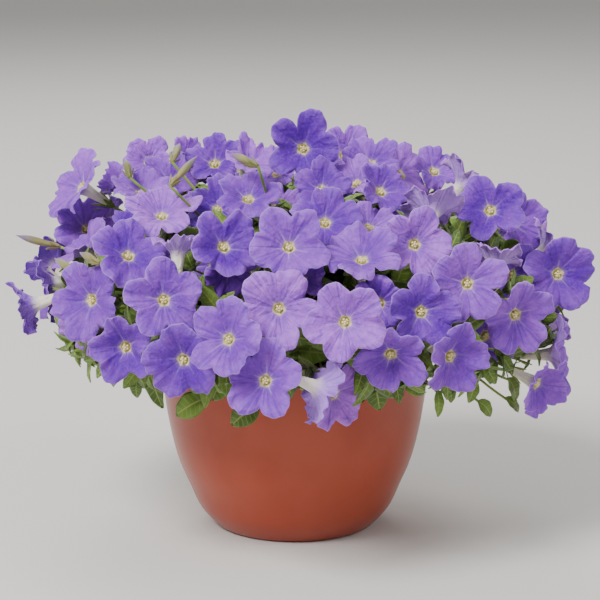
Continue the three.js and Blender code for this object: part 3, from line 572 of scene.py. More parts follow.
# %% Table of blooms
bloom_nodes = sorted(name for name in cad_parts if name.startswith(("bloom_", "spray_")))
found = {name: blooms_in(name) for name in bloom_nodes}
table = np.concatenate(list(found.values()))
node_of = np.concatenate([[name] * len(rows) for name, rows in found.items()])
centres, facings, sides, tops = table[:, 0:3], table[:, 3:6], table[:, 6:9], table[:, 9:12]
radii, cups, rolls = table[:, 12], table[:, 13], table[:, 14]
print(len(table), "blooms in", len(bloom_nodes), "nodes")
print("radius from", radii.min().round(1), "to", radii.max().round(1), "mm")
print("nodes with no bloom:", [name for name, rows in found.items() if len(rows) == 0])

# %% [markdown]
# ## The edge of a bloom
#
# A petunia bloom is a single sheet: a narrow tube opens into a funnel and flares flat into five broad
# lobes, joined almost to their tips. No bloom is a perfect star. Nine seeded numbers make each one its
# own: how deep each join is cut in, how long and how blunt the lobes are, and how the margin strays.

# %% Edge of a bloom
TURN = 2 * np.pi
rng = np.random.default_rng(5)
bloom_chance = rng.random((len(table), 9))


def outline(angle):
    """Rim radius as a share of the bloom's: 1 - notch * (1 - |cos(2.5 angle)| ** fullness)."""
    return 1 - notch_depth * (1 - abs(np.cos(2.5 * angle)) ** lobe_fullness)


def of_lobe(angle, chance, turned_by):
    """One of five seeded numbers of each bloom for the lobe, or the join, that every angle belongs to."""
    number = np.floor((angle * 180 / np.pi + turned_by) / 72).astype(int) % 5
    return np.take_along_axis(chance[:, 4:9], np.repeat(number[0], len(chance), 0), 1)[:, None, :]


def from_middle(angle):
    """0 on the middle of a lobe, 1 on a join, evenly between."""
    return abs((angle * 180 / np.pi + 36) % 72 - 36) / 36


def ragged_outline(angle, chance):
    """Outline of a grown bloom: each join is cut in by its own depth, 1 - depth * (1 - |cos(2.5 a)| ** f),
    the lobes differ in length, are dented in the middle, and the margin is a little uneven."""
    depth = 0.16 + 0.27 * of_lobe(angle, chance, 0)
    a, b, c = chance[:, 1:4, None, None].swapaxes(0, 1)
    length = 1.06 - 0.03 * (1 + np.sin(2 * angle + TURN * a)) + 0.03 * np.sin(3 * angle + TURN * b)
    uneven = 0.014 * np.sin(13 * angle + TURN * c) + 0.011 * np.sin(22 * angle + TURN * a)
    dent = 0.035 * c * np.exp(-(from_middle(angle) / 0.16) ** 2)
    return length * (1 - depth * (1 - abs(np.cos(2.5 * angle)) ** (0.55 + 0.55 * b))) + uneven - dent


print("a join of the frame's blooms is cut in to", outline(np.array(np.pi / 5)).round(2), "of the radius")

# %% [markdown]
# ### Folds
#
# Petals dry, curl and push at each other, so the face is never flat. The height of the sheet is a sum of
# plain waves round the bloom, each with its own seeded start: long ones lean whole lobes, short ones
# frill the margin, and narrow dips sink the middle vein and the join of each lobe.

# %% Folds of a bloom
def waves(angle, part, chance):
    """Height of the folds in mm at an angle and a part of the radius: lobes that lean and lie one over the
    next, one that bends further, a wavy margin, and a crease on each join and each middle vein."""
    a, b, c, d = chance[:, :4, None, None].swapaxes(0, 1)
    lobes = 1.7 * np.sin(2 * angle + TURN * a) + 1.5 * np.sin(3 * angle + TURN * b)
    own = 3.8 * (of_lobe(angle, chance, 36) - 0.5)
    across = ((angle * 180 / np.pi + 36) % 72) / 72 - 0.5
    blade = across * np.where(a > 0.5, 3.6, -3.6) * (0.5 + b)
    from_bent = abs((angle - TURN * np.floor(5 * d) / 5 + np.pi) % TURN - np.pi)
    bent = np.clip(np.cos(from_bent * 1.25), 0, 1) ** 2 * (9 * c - 5.6)
    wavy = 1.25 * np.sin(7 * angle + TURN * c) + 1.1 * np.sin(10 * angle + TURN * d)
    frill = 1.1 * np.sin(16 * angle + TURN * a) + 0.7 * np.sin(25 * angle + TURN * b)
    lobe = from_middle(angle)
    domed = 1.9 * np.cos(np.pi / 2 * lobe) - 0.9
    crease = -1.5 * np.exp(-(lobe / 0.13) ** 2) - 1.9 * np.exp(-((1 - lobe) / 0.14) ** 2)
    fine = 0.3 * np.sin(35 * angle + TURN * c + 5 * part) + 0.3 * np.sin(11 * angle + 9 * part + TURN * a)
    curl = -1.6 * np.clip((part - 0.8) / 0.2, 0, 1) ** 2
    radial = part ** 1.5 * (lobes + domed) + part ** 2 * (own + blade + bent) + part ** 2.5 * wavy
    radial = radial + part ** 4 * frill
    return radial + (crease + fine) * part ** 0.5 * (1.2 - part) + curl


rim_angle = round_turn(72)[None, None]
rim_height = waves(rim_angle, 1.0, bloom_chance)
print("folds lift the rims by", rim_height.min().round(1), "to", rim_height.max().round(1), "mm")

# %% [markdown]
# ### The whole sheet
#
# The sheet is worked out on a grid: the angle runs round the bloom, and the rows run from the tube's foot
# up its outside, over the rim, across the face and down into the throat. A Solidify modifier would give
# the same thickness everywhere, but a bloom's wall grows from a thin rim into a closed tube. The rows
# stand close together where the sheet bends most, at the rim and in the throat.

# %% Rows of the sheet
petal_columns = 80
tube_part = np.array([0.0, 0.06, 0.2, 0.36, 0.52, 0.68, 0.82, 0.93])
back_part = np.array([0.03, 0.1, 0.2, 0.33, 0.47, 0.6, 0.72, 0.83, 0.92, 0.98])
face_part = np.array([1.0, 0.97, 0.92, 0.85, 0.77, 0.68, 0.58, 0.48, 0.38, 0.29, 0.21, 0.13, 0.06, 0.0])
pit_part = np.array([0.2, 0.45, 0.7, 0.88])
tube_foot_radius, tube_top_radius, tube_top_depth = 2.2, 5.3, 10.5
eye_radius, eye_depth = 3.7, 12.0
sheet_thickness = 0.5
sheet_rows = len(tube_part) + len(back_part) + len(face_part) + len(pit_part)
print("each bloom has", 2 * petal_columns * sheet_rows, "triangles")

# %% [markdown]
# Four small functions give the radius, the height and the reach of their own stretch of rows. The reach
# is what the material reads: 1 at the rim, 0 where the funnel starts, and -1 at the end of the tube.

# %% The sheet of a bloom
def bloom_grid(centre, facing, side, top, radius, cup, roll, tint, chance):
    """Rings and point values of many blooms, from the foot of the tube to the bottom of the pit.
    Face height = cup * part - depth * (1 - part) ** 1.5 + folds, its radius runs straight from the throat to
    the rim, and the back lies a sheet's thickness behind it, and further where it turns into the tube."""
    angle = round_turn(petal_columns)[None, None, :]
    edge = radius[:, None, None] * ragged_outline(angle, chance)
    cup = cup[:, None, None]

    def face(part):
        """Upper side of the lobes: part of the radius from the throat, 0, to the rim, 1."""
        part = part[None, :, None]
        height = cup * part - throat_depth * (1 - part) ** 1.5 + waves(angle, part, chance)
        return eye_radius + (edge - eye_radius) * part, height, part + 0 * angle

    def back(part):
        """Under side of the lobes, which widens into the tube towards the throat."""
        share = part[None, :, None]
        behind = sheet_thickness + (tube_top_depth - throat_depth - 0.4) * (1 - share) ** 5
        radial, height, _ = face(part)
        radial = radial + (tube_top_radius - eye_radius) * (1 - share) ** 3
        return radial, height - behind, share + 0 * angle

    def tube(part):
        """Outside of the tube from its foot, 0, to the funnel, 1, with five soft ribs."""
        share = part[None, :, None]
        deep = tube_length + (tube_top_depth - tube_length) * share
        swell = share ** 0.8 * (0.75 + 0.25 * share ** 3)
        radial = tube_foot_radius + (tube_top_radius - tube_foot_radius) * swell
        radial = radial * (1 + 0.05 * share * np.cos(5 * angle + np.pi))
        return radial + 0 * edge, -deep + 0 * edge, share - 1 + 0 * angle

    def pit(part):
        """Inside of the throat, from its edge, 0, to the bottom, 1."""
        share = part[None, :, None]
        radial = eye_radius * np.sqrt(1 - share ** 2) * (1 - 0.04 * np.cos(5 * angle))
        deep = throat_depth + (eye_depth - throat_depth) * share
        return radial + 0 * edge, -deep + 0 * edge, -share + 0 * angle

    parts = [tube(tube_part), back(back_part), face(face_part), pit(pit_part)]
    radial = np.concatenate([part[0] for part in parts], 1)
    height = np.concatenate([part[1] + 0 * edge for part in parts], 1)
    reach = np.concatenate([np.broadcast_to(part[2], part[0].shape) for part in parts], 1)
    spun = angle + roll[:, None, None]
    rings = (
        centre[:, None, None]
        + facing[:, None, None] * height[..., None]
        + side[:, None, None] * (radial * np.cos(spun))[..., None]
        + top[:, None, None] * (radial * np.sin(spun))[..., None]
    )
    outer = np.zeros(radial.shape)
    outer[:, :len(tube_part) + len(back_part)] = 1
    wide = np.broadcast_to(angle, radial.shape)
    values = {
        "petal": np.stack([np.cos(wide), np.sin(wide), reach], -1),
        "lobe": from_middle(wide)[..., None],
        "outer": outer[..., None],
        "tint": np.broadcast_to(tint[:, None, None], radial.shape)[..., None],
    }
    return rings, values


flat = [array[:1] for array in (centres, facings, sides, tops, radii, cups, rolls)]
print("the first bloom's grid is", bloom_grid(*flat, np.zeros(1), bloom_chance[:1])[0].shape[1:3])

# %% [markdown]
# ### Stamens
#
# Five pale stamens and the pistil fill the throat, so that a bloom's eye is a cluster of cream dots and
# not a bare hole. They are thin tubes that thicken at the head, three long and three short.

# %% Stamens
pollen_reach = -2.0
stamen_out = np.array([1.7, 1.9, 1.6, 1.8, 1.7, 0.0])
short_one, long_one = [11.8, 10.9, 10.0, 9.3, 8.4, 7.6, 7.1], [11.8, 10.5, 9.2, 8.5, 7.6, 6.8, 6.3]
stamen_depth = np.array([short_one, long_one] * 3)
stamen_spread = np.array([0.5, 0.9, 1.0, 1.0, 1.0, 1.0, 1.0])
stamen_radius = np.array([0.3, 0.28, 0.35, 0.8, 1.0, 0.85, 0.4])


def stamens(centre, facing, side, top, roll):
    """Six thin tubes in the middle of each throat, told to the material by a reach of -2: out along their
    spoke by out * spread, and deep behind the bloom's centre."""
    angle = roll[:, None] + np.arange(6) * 2 * np.pi / 5
    spoke = spokes(angle, side[:, None], top[:, None])
    outwards = spoke[:, :, None] * (stamen_out[:, None] * stamen_spread)[None, ..., None]
    line = centre[:, None, None] + outwards - facing[:, None, None] * stamen_depth[None, ..., None]
    rings = tubes(line.reshape(-1, 7, 3), stamen_radius[None, :], 6)
    shape = rings.shape[:3]
    values = {"petal": np.zeros((*shape, 3)) + np.array([0, 0, pollen_reach])}
    values |= {name: np.zeros((*shape, 1)) for name in ("lobe", "outer", "tint")}
    return rings, values


print("stamens stand", stamen_depth.min(), "to", stamen_depth.max(), "mm behind the bloom's centre")

# %% [markdown]
# ### Petal
#
# A petal is a thin moist sheet with fine hairs: nearly matt, a little velvety at the edges of the form,
# and light comes through it. Violet runs deeper along the veins, pales towards the margin, and turns
# to cream in the throat. The back is paler than the face, and the tube is cream with dark veins.
# Radial veins follow the surface, so they are noise on the direction round the bloom, drawn about 1.7 mm
# apart half way out, which is coarser than real ones so that they show.

# %% Patterns on a petal
petal, tree, shader = new_material("petunia_petal")
round_x, round_y, reach = add(tree, "SeparateXYZ", (add(tree, "Attribute", attribute_name="petal")[1],))
lobe, outer, tint = (add(tree, "Attribute", attribute_name=name)[2] for name in ("lobe", "outer", "tint"))
vein_spacing, vein_radius = 1.7, 18.0
vein_waves = vein_radius / vein_spacing
slide = add(tree, "Math", (reach, 0.9), operation="MULTIPLY")[0]
streak_place = add(tree, "CombineXYZ", (
    add(tree, "Math", (round_x, vein_waves), operation="MULTIPLY")[0],
    add(tree, "Math", (round_y, vein_waves), operation="MULTIPLY")[0],
    add(tree, "Math", (tint, 37.0, slide), operation="MULTIPLY_ADD")[0],
))[0]
streaks = add(tree, "TexNoise", {"Vector": streak_place, "Scale": 1.0, "Detail": 2.0, "Distortion": 0.4})[0]
place = add(tree, "TexCoord")["Object"]
blotch_size, wrinkle_size, crumple_size = 22 * MM, 6 * MM, 1.9 * MM
blotch = add(tree, "TexNoise", {"Vector": place, "Scale": 1 / blotch_size, "Detail": 2.0})[0]
crumple = add(tree, "TexNoise", {"Vector": place, "Scale": 1 / crumple_size, "Detail": 2.0})[0]
wrinkle = add(tree, "TexNoise", {
    "Vector": place, "Scale": 1 / wrinkle_size, "Detail": 1.5, "Distortion": 0.8,
})[0]

mottle = add(tree, "MapRange", (blotch, 0.3, 0.7, -0.14, 0.16), **smooth)[0]
paleness = add(tree, "Math", (tint, mottle), operation="ADD", use_clamp=True)[0]

# A pale ray runs out along each lobe's middle vein, and a fainter one along each join. Blotches break them.
rays = []
vein_ray = (0.0, 0.2, 1.0, 0.0), (0.0, 0.5, 0.42, 0.0)
join_ray = (0.82, 1.0, 0.0, 1.0), (0.0, 0.4, 0.3, 0.0)
for beside, outwards in (vein_ray, join_ray):
    narrow = add(tree, "MapRange", (lobe, *beside), **smooth)[0]
    fading = add(tree, "MapRange", (reach, *outwards), **smooth)[0]
    rays.append(add(tree, "Math", (narrow, fading), operation="MULTIPLY")[0])
brightest = add(tree, "Math", rays, operation="MAXIMUM")[0]
broken = add(tree, "MapRange", (blotch, 0.35, 0.6, 0.3, 1.0), **smooth)[0]
ray = add(tree, "Math", (brightest, broken), operation="MULTIPLY")[0]
star_edge = add(tree, "Math", (lobe, 0.03, reach), operation="MULTIPLY_ADD")[0]
print("veins:", round(vein_waves, 1), "waves to a radian, patterns from", len(tree.nodes), "nodes")

# %% [markdown]
# The layers run from the ground colour up: the bloom's shade, darker towards the throat, a painted
# highlight on the raised crumples, paler margin, veins, painted shade in the wrinkles' hollows, rays,
# haze round the eye, rim, cream star, throat and pollen. The back has its own short list.

# %% Petal colours and relief
petal_face = layered(tree, "#5c10a2", [
    (paleness, "#ba70e6"),
    (reach, 0.05, 0.5, 0.35, 0.0, "#561ea6"),
    # Painted highlight: the raised tops of the crumples are a little paler.
    (crumple, 0.42, 0.72, 0.0, 0.1, "#c08cee"),
    (reach, 0.5, 1.0, 0.0, 0.25, "#b078ea"),
    (streaks, 0.52, 0.68, 0.0, 0.45, "#481494"),
    # Painted shade: the hollows of the wrinkles are a deeper violet.
    (wrinkle, 0.4, 0.62, 0.22, 0.0, "#561aa8"),
    (ray, "#d9c4ea"),
    (reach, 0.0, 0.2, 0.32, 0.0, "#bd9fce"),
    (reach, 0.95, 1.0, 0.0, 0.4, "#c49cf2"),
    (star_edge, 0.0, 0.085, 0.95, 0.0, "#ebe09a"),
    (reach, -0.95, -0.45, 0.8, 0.0, "#dcd488"),
    (reach, -1.6, -1.4, 1.0, 0.0, "#ece2a0"),
])
veined_cream = layered(tree, "#fbf5dd", [(streaks, 0.52, 0.66, 0.0, 0.25, "#a582b4")])
petal_back = layered(tree, "#8f5ace", [
    (paleness, "#c298e6"),
    (streaks, 0.5, 0.66, 0.0, 0.5, "#7446b4"),
    (reach, -0.25, 0.27, 1.0, 0.0, veined_cream),
    (reach, -1.0, -0.55, 0.6, 0.0, "#d3da8e"),
])
relief = 0.0
for pattern, weight in ((crumple, 0.6), (wrinkle, 2.6), (streaks, -0.8)):
    relief = add(tree, "Math", (pattern, weight, relief), operation="MULTIPLY_ADD")[0]
fill(tree, shader, {
    "Base Color": layered(tree, petal_face, [(outer, petal_back)]),
    "Roughness": 0.62, "Specular IOR Level": 0.22,
    "Subsurface Weight": 0.35, "Subsurface Radius": (1.0, 0.75, 1.1), "Subsurface Scale": 1.2 * MM,
    "Sheen Weight": 0.06, "Sheen Roughness": 0.4,
    "Normal": add(tree, "Bump", {"Height": relief, "Strength": 0.8, "Distance": 0.8 * MM})[0],
})
print("petal material has", len(tree.nodes), "nodes")

# %% [markdown]
# ### Shades of the blooms
#
# No two blooms of the plant have the same age, so they run from deep violet, just open, to a washed
# lavender. The singles' shades were judged, in the order of their nodes: 0 deep, 1 pale. The
# sprays' are drawn, but those of two sprays at the far left and of one whole spray are deeper.

# %% Grow the petals
single_shades = [
    0.55, 0.05, 0.1, 0.1, 0.35, 0.5, 0.12, 0.25, 0.3, 0.45,
    0.4, 0.75, 0.85, 0.35, 0.05, 0.15, 0.3, 0.15, 0.95, 0.1,
    0.4, 0.5, 0.75, 0.9, 0.4, 0.9, 0.95, 0.3, 0.95, 0.35,
    0.35, 0.45, 0.8, 0.2, 0.4, 0.75, 0.9, 0.25, 0.4, 0.15, 0.3,
]
far_left, left_side, deepened = -190, -110, 0.3
shades = np.concatenate([single_shades, 0.1 + 0.75 * rng.random(len(table) - len(single_shades))])
shades[(node_of == "spray_04") & (centres[:, 0] < far_left)] = 0.05
shades[(node_of == "spray_03") & (centres[:, 0] < left_side)] = 0.0
shades[node_of == "spray_07"] *= deepened
petal_total = 0
for name in bloom_nodes:
    own = node_of == name
    pose = [array[own] for array in (centres, facings, sides, tops)]
    sheet = lofts(*bloom_grid(*pose, radii[own], cups[own], rolls[own], shades[own], bloom_chance[own]))
    inside = lofts(*stamens(*pose, rolls[own]))
    piece = make_piece(name + "_petals", merged([sheet, inside]), petal, [name])
    petal_total += triangles_of(piece)
print(len(bloom_nodes), "pieces of petals with", petal_total, "triangles")

# %% [markdown]
# ## Room between the blooms
#
# Stalks and leaves have to thread between the blooms. Testing them against the finished sheets would be
# slow, so a bloom is tested as what it roughly is: a shallow cone with a five-lobed edge, and a rod for
# its tube.

# %% Nearness test
calyx_length, tube_middle = 6.0, 4.2


def touched(points, room, spare=-1):
    """Whether each point lies nearer than room to any bloom's face, |height - cone(part)| < room inside the
    outline, or to its tube. Bloom number spare isn't tested."""
    offset = points[..., None, :] - centres
    forward = (offset * facings).sum(-1)
    across = (offset * sides).sum(-1)
    up = (offset * tops).sum(-1)
    radial = np.hypot(across, up)
    behind_face = (forward < -throat_depth) & (forward > -tube_length - calyx_length - room)
    edge = radii * outline(np.arctan2(up, across) - rolls)
    part = np.clip((radial - throat_radius) / (edge - throat_radius), 0, 1)
    from_cone = abs(forward - cups * part + throat_depth * (1 - part))
    hit = (behind_face & (radial < tube_middle + room)) | ((radial < edge + room) & (from_cone < room))
    if spare >= 0:
        hit[..., spare] = False
    return hit.any(-1)


def near_pot(points, room):
    """Whether each point lies inside the pot's widest upright cylinder, or nearer to it than room."""
    from_axis = np.hypot(points[..., 0], points[..., 1])
    return (points[..., 2] < pot_height + room) & (from_axis < rim_radius + lip_out + room)


behind = centres[:, None] - 30 * facings[:, None]
print("blooms too near another's face:", int(touched(behind, 2).sum() - len(table)))

# %% [markdown]
# The blooms stand on the shell of an oval mound, wider than it is deep and rounder above than below. The
# green mass of stems fills a smaller oval inside it. Everything green starts somewhere in that mass.

# %% The mound and its green mass
mound = {"x": 8.0, "y": 0.0, "z": 165.0, "across": 203.0, "deep": 183.0, "up": 128.0, "down": 64.0}
core_under, core_down = 56.0, 26.0
heart = np.array([mound["x"], mound["y"], mound["z"]])


def core_part(points):
    """1 on the surface of the green mass, less inside: the length of the offset over the half axes."""
    tall = np.where(points[..., 2] > heart[2], mound["up"] - core_under, core_down)
    x = (points[..., 0] - heart[0]) / (mound["across"] - core_under)
    y = (points[..., 1] - heart[1]) / (mound["deep"] - core_under)
    return np.sqrt(x * x + y * y + ((points[..., 2] - heart[2]) / tall) ** 2)


def into_core(points, depth):
    """Points lifted clear of the lip, then drawn straight to the heart until core_part is at most depth."""
    goal = np.array(points, float)
    goal[..., 2] = np.maximum(goal[..., 2], pot_height + 5)
    share = np.minimum(1, depth / core_part(goal))
    return heart + (goal - heart) * share[..., None]


tube_ends = core_part(centres - tube_length * facings)
print("the innermost tube ends at", tube_ends.min().round(2), "of the way from the heart to the skin")

# %% [markdown]
# ## Flower stalks
#
# Each bloom stands on its own green stalk, one to two millimetres thick, which leaves the calyx
# straight and then bends down into the plant. The way is a parabola between three points. Of
# seventy-five bends, the one that comes near the fewest other blooms is taken.

# %% Stalk paths
knee_reach, stalk_root = 13.0, 0.85
stalk_room, pot_room = 3.0, 2.0
shifts = [0.0, 12.0, -12.0, 24.0, -24.0]
bends = np.array([(g, u, s) for g in (0.0, 20.0, -20.0) for u in shifts for s in shifts])
path_share = np.linspace(0, 1, 18)[None, :, None]


def parabola(start, knee, goal, share):
    """(1 - t)^2 start + 2 t (1 - t) knee + t^2 goal."""
    return (1 - share) ** 2 * start + 2 * share * (1 - share) * knee + share ** 2 * goal


def stalk_path(bloom):
    """Points of the clearest bend from a bloom's calyx into the green mass, and how often it is too near."""
    start = centres[bloom] - (tube_length + calyx_length) * facings[bloom]
    goal, up, sideways = bends[:, 0:1], bends[:, 1:2], bends[:, 2:3]
    knees = start - knee_reach * facings[bloom] + sideways * sides[bloom] + up * tops[bloom]
    goals = into_core(into_core(start, stalk_root) + goal * sides[bloom], stalk_root)
    paths = parabola(start, knees[:, None], goals[:, None], path_share)
    bad = touched(paths, stalk_room, bloom).sum(1) + 2 * near_pot(paths, pot_room).sum(1)
    return paths[bad.argmin()], int(bad.min())


stalks, misses = zip(*[stalk_path(bloom) for bloom in range(len(table))])
stalks = np.array(stalks)
print(len(stalks), "stalks,", int(np.count_nonzero(misses)), "of them pass close by a bloom")

# %% [markdown]
# ## Blades
#
# Sepals and leaves are one form: a blade that is widest in its lower half and pointed at the tip, with a
# face on both sides and a bend. As a loft, each ring runs once across the upper side and back across
# the lower one, so hundreds of closed thin blades come out of one call.

# %% Blades
def blades(base, ahead, above, length, width, thickness, rows, lift, columns=5):
    """Closed thin blades. Half width = width / 2 * sin(pi s ** 0.85) ** 0.7 along s from foot to tip. The
    blade bends by lift(s, x) times its length, x running across it from -1 to 1."""
    along = np.linspace(0.0, 1.0, rows)[None, :, None]
    x = np.concatenate([np.linspace(1, -1, columns), np.linspace(-1, 1, columns)[1:-1]])[None, None, :]
    inner = np.ones(columns - 2)
    face = np.concatenate([[0], inner, [0], -inner])[None, None, :]
    side = np.cross(above, ahead)
    half = width[:, None, None] / 2 * np.clip(np.sin(np.pi * (0.03 + 0.95 * along) ** 0.85), 0, 1) ** 0.7
    height = length[:, None, None] * lift(along, x) + face * thickness / 2 * np.sqrt(1 - 0.6 * x * x)
    rings = (
        base[:, None, None]
        + ahead[:, None, None] * (length[:, None, None] * along + 0 * half * x)[..., None]
        + side[:, None, None] * (half * x)[..., None]
        + above[:, None, None] * height[..., None]
    )
    values = {"blade": np.stack(np.broadcast_arrays(x + 0 * height, along, face), -1)}
    return rings, values


def plain_values(rings, reach):
    """Point values of a stalk: the same name as a blade's, with only the place along it."""
    shape = rings.shape[:3]
    along = np.broadcast_to(np.asarray(reach)[None, :, None], shape)
    return {"blade": np.stack([np.zeros(shape), along, np.zeros(shape)], -1)}


print("a blade's half width at its middle is", (math.sin(math.pi * 0.505 ** 0.85) ** 0.7).__round__(2))

# %% [markdown]
# ### Calyx
#
# Each bloom's tube sits in a small green cup with five narrow pointed sepals, one behind each join. The
# cup is a short tube that widens, and the sepals are blades that lean out and curl back a little.

# %% Stalks, cups and sepals
sepal_width, sepal_thickness, sepal_rows = 2.7, 0.6, 8
stalk_rows = np.linspace(0, 1, stalks.shape[1])
stalk_rings = tubes(stalks[:, ::-1], 1.35 - 0.25 * stalk_rows)
cup_depth = np.array([calyx_length, 4.6, 3.0, 1.2, -1.0, -1.6])
cup_width = np.array([1.15, 2.0, 2.7, 3.0, 3.2, 2.6])
cup_line = centres[:, None] - (tube_length + cup_depth[None, :, None]) * facings[:, None]
cup_rings = tubes(cup_line, cup_width[None, :], 10)

sepal_angle = (np.arange(5) * 72 + 36) * np.pi / 180 + rolls[:, None]
spoke = spokes(sepal_angle, sides[:, None], tops[:, None])
spread = 0.32 + 0.35 * rng.random((len(table), 5, 1))
sepal_ahead = unit(facings[:, None] + spread * spoke).reshape(-1, 3)
sepal_above = square_to(sepal_ahead, spoke.reshape(-1, 3))
sepal_base = (centres[:, None] - (tube_length + 1.5) * facings[:, None] + 2.5 * spoke).reshape(-1, 3)
sepal_length = 11 + 3 * rng.random(len(sepal_base))
sepal_rings, sepal_values = blades(
    sepal_base, sepal_ahead, sepal_above, sepal_length, np.full(len(sepal_base), sepal_width),
    sepal_thickness, sepal_rows, lambda s, x: 0.12 * s * s + 0.03 * abs(x),
)
print(len(stalk_rings), "stalks and cups and", len(sepal_base), "sepals")

# %% [markdown]
# ### Hairs
#
# Stalks and sepals are covered in short sticky hairs, which rim them with light. A particle system would
# vanish in an export, so each hair is a closed spike of three sides. They are drawn a little thicker than
# real ones, so that they show, and stand out from the stalk's sides and from the sepals' edges.

# %% Hairs
stalk_hairs, sepal_hairs = 3600, 2600
hair_foot_radius, hair_tip_radius = 0.08, 0.02


def hairs(foot, ahead, length):
    """Three-sided spikes from just under the skin to a blunt tip: foot + ahead * length * part."""
    part = np.array([-0.08, 1.0])[None, :, None]
    line = foot[:, None] + ahead[:, None] * length[:, None, None] * part
    rings = tubes(line, np.array([[hair_foot_radius, hair_tip_radius]]), 3)
    return lofts(rings, plain_values(rings, np.array([0.95, 1.0])))


stalk_no = rng.integers(0, len(stalks), stalk_hairs)
row_no, column_no = rng.integers(6, 17, stalk_hairs), rng.integers(0, 7, stalk_hairs)
slide = rng.random((stalk_hairs, 1))
on_row, on_next = (stalk_rings[stalk_no, row_no + step, column_no] for step in (0, 1))
hair_foot = on_row * slide + on_next * (1 - slide)
stalk_middle = stalks[stalk_no, 17 - row_no] * slide + stalks[stalk_no, 16 - row_no] * (1 - slide)
hair_ahead = unit(hair_foot - stalk_middle + 0.35 * rng.standard_normal((stalk_hairs, 3)))
sepal_no, sepal_row = rng.integers(0, len(sepal_base), sepal_hairs), rng.integers(1, 7, sepal_hairs)
edge_no = rng.choice([0, 4], sepal_hairs)
sepal_foot = sepal_rings[sepal_no, sepal_row, edge_no]
sepal_out = unit(sepal_foot - sepal_rings[sepal_no, sepal_row].mean(1))
stray = 0.3 * rng.standard_normal((sepal_hairs, 3))
sepal_hair_ahead = unit(sepal_out + 0.5 * sepal_above[sepal_no] + stray)
green_parts = [
    hairs(hair_foot, hair_ahead, 0.9 + 0.6 * rng.random(stalk_hairs)),
    hairs(sepal_foot, sepal_hair_ahead, 0.8 + 0.5 * rng.random(sepal_hairs)),
    lofts(stalk_rings, plain_values(stalk_rings, stalk_rows)),
    lofts(cup_rings, plain_values(cup_rings, np.linspace(0.9, 1.0, 6))),
    lofts(sepal_rings, sepal_values),
]
print("stalks, cups, sepals and hairs:", sum(len(part[0]) for part in green_parts), "points")

# %% [markdown]
# ### Soft green growth
#
# Petunia leaves and stalks are covered in short sticky hairs, which makes the green matt and slightly
# frosted at the edges. The midrib and the side veins are paler, the blade dimples between them. The
# veins follow each blade, so they read its own place across and along, which lofts kept on the points.

# %% Leaf and stalk materials
patch_size, fine_size, veins_along, vein_slant = 28 * MM, 1.8 * MM, 44.0, -5.0


def green_growth(name, shade, young, rib, rough, tip=None):
    """Material for leaves, stalks or buds that reads the blade attribute: x across, s along, and the face.
    Side veins stand where sin(veins_along * s + vein_slant * |x|) is high."""
    material, tree, shader = new_material(name)
    across, along, face = add(tree, "SeparateXYZ", (add(tree, "Attribute", attribute_name="blade")[1],))
    place = add(tree, "TexCoord")["Object"]
    patch = add(tree, "TexNoise", {"Vector": place, "Scale": 1 / patch_size, "Detail": 2.0})[0]
    fine = add(tree, "TexNoise", {"Vector": place, "Scale": 1 / fine_size, "Detail": 2.0})[0]
    from_rib = add(tree, "Math", (across,), operation="ABSOLUTE")[0]
    steps = add(tree, "Math", (along, veins_along), operation="MULTIPLY")[0]
    slanted = add(tree, "Math", (from_rib, vein_slant, steps), operation="MULTIPLY_ADD")[0]
    veins = add(tree, "Math", (slanted,), operation="SINE")[0]
    side_vein = add(tree, "Math", (
        add(tree, "MapRange", (veins, 0.8, 1.0, 0.0, 0.4), **smooth)[0],
        add(tree, "MapRange", (from_rib, 0.75, 0.95, 1.0, 0.0), **smooth)[0],
    ), operation="MULTIPLY")[0]
    midrib = add(tree, "MapRange", (from_rib, 0.0, 0.13, 0.75, 0.0), **smooth)[0]
    ribs = add(tree, "Math", (
        add(tree, "Math", (midrib, side_vein), operation="MAXIMUM")[0],
        add(tree, "Math", (face,), operation="ABSOLUTE")[0],
    ), operation="MULTIPLY")[0]
    layers = [(patch, 0.36, 0.64, 0.0, 1.0, young), (fine, 0.4, 0.7, 0.0, 0.25, young), (ribs, rib)]
    if tip:
        layers.append((along, 0.45, 0.95, 0.0, 0.8, tip))
    pores = add(tree, "Math", (fine, 0.4), operation="MULTIPLY")[0]
    relief = add(tree, "Math", (ribs, -1.0, pores), operation="MULTIPLY_ADD")[0]
    fill(tree, shader, {
        "Base Color": layered(tree, shade, layers),
        "Roughness": rough, "Specular IOR Level": 0.35, "Sheen Weight": 0.25,
        "Subsurface Weight": 0.2, "Subsurface Radius": (0.5, 1.0, 0.2), "Subsurface Scale": 1.0 * MM,
        "Normal": add(tree, "Bump", {"Height": relief, "Strength": 0.5, "Distance": 0.5 * MM})[0],
    })
    return material


leaf_green = green_growth("petunia_leaf", "#48631b", "#6c8a2a", "#a3b25c", 0.5)
stalk_green = green_growth("hairy_green_stalk", "#66812f", "#8a9c45", "#9fae5c", 0.6)
bud_green = green_growth("closed_petunia_bud", "#6f7236", "#978d5a", "#978d5a", 0.6, "#7d659a")
stalk_piece = make_piece("stalks_and_calyces", merged(green_parts), stalk_green, ["foliage"])
print("stalks and calyces have", triangles_of(stalk_piece), "triangles")

# %% [markdown]
# ## Leaves
#
# Leaves sit on the shoots under the blooms. They are spread over the green mass by the golden angle, so
# that no two stand in line, as leaves do round a stem. Plain random places would clump and leave bald
# patches.

# %% Places over the mound
golden = math.pi * (3 - math.sqrt(5))


def random_from(seed):
    """Seeded numbers from 0 to 1 by mixing the bits of a counter."""
    state = seed
    while True:
        state = (state + 0x6D2B79F5) & 0xFFFFFFFF
        mixing = ((state ^ (state >> 15)) * (state | 1)) & 0xFFFFFFFF
        mixing ^= (mixing + (((mixing ^ (mixing >> 7)) * (mixing | 61)) & 0xFFFFFFFF)) & 0xFFFFFFFF
        yield (mixing ^ (mixing >> 14)) / 4294967296


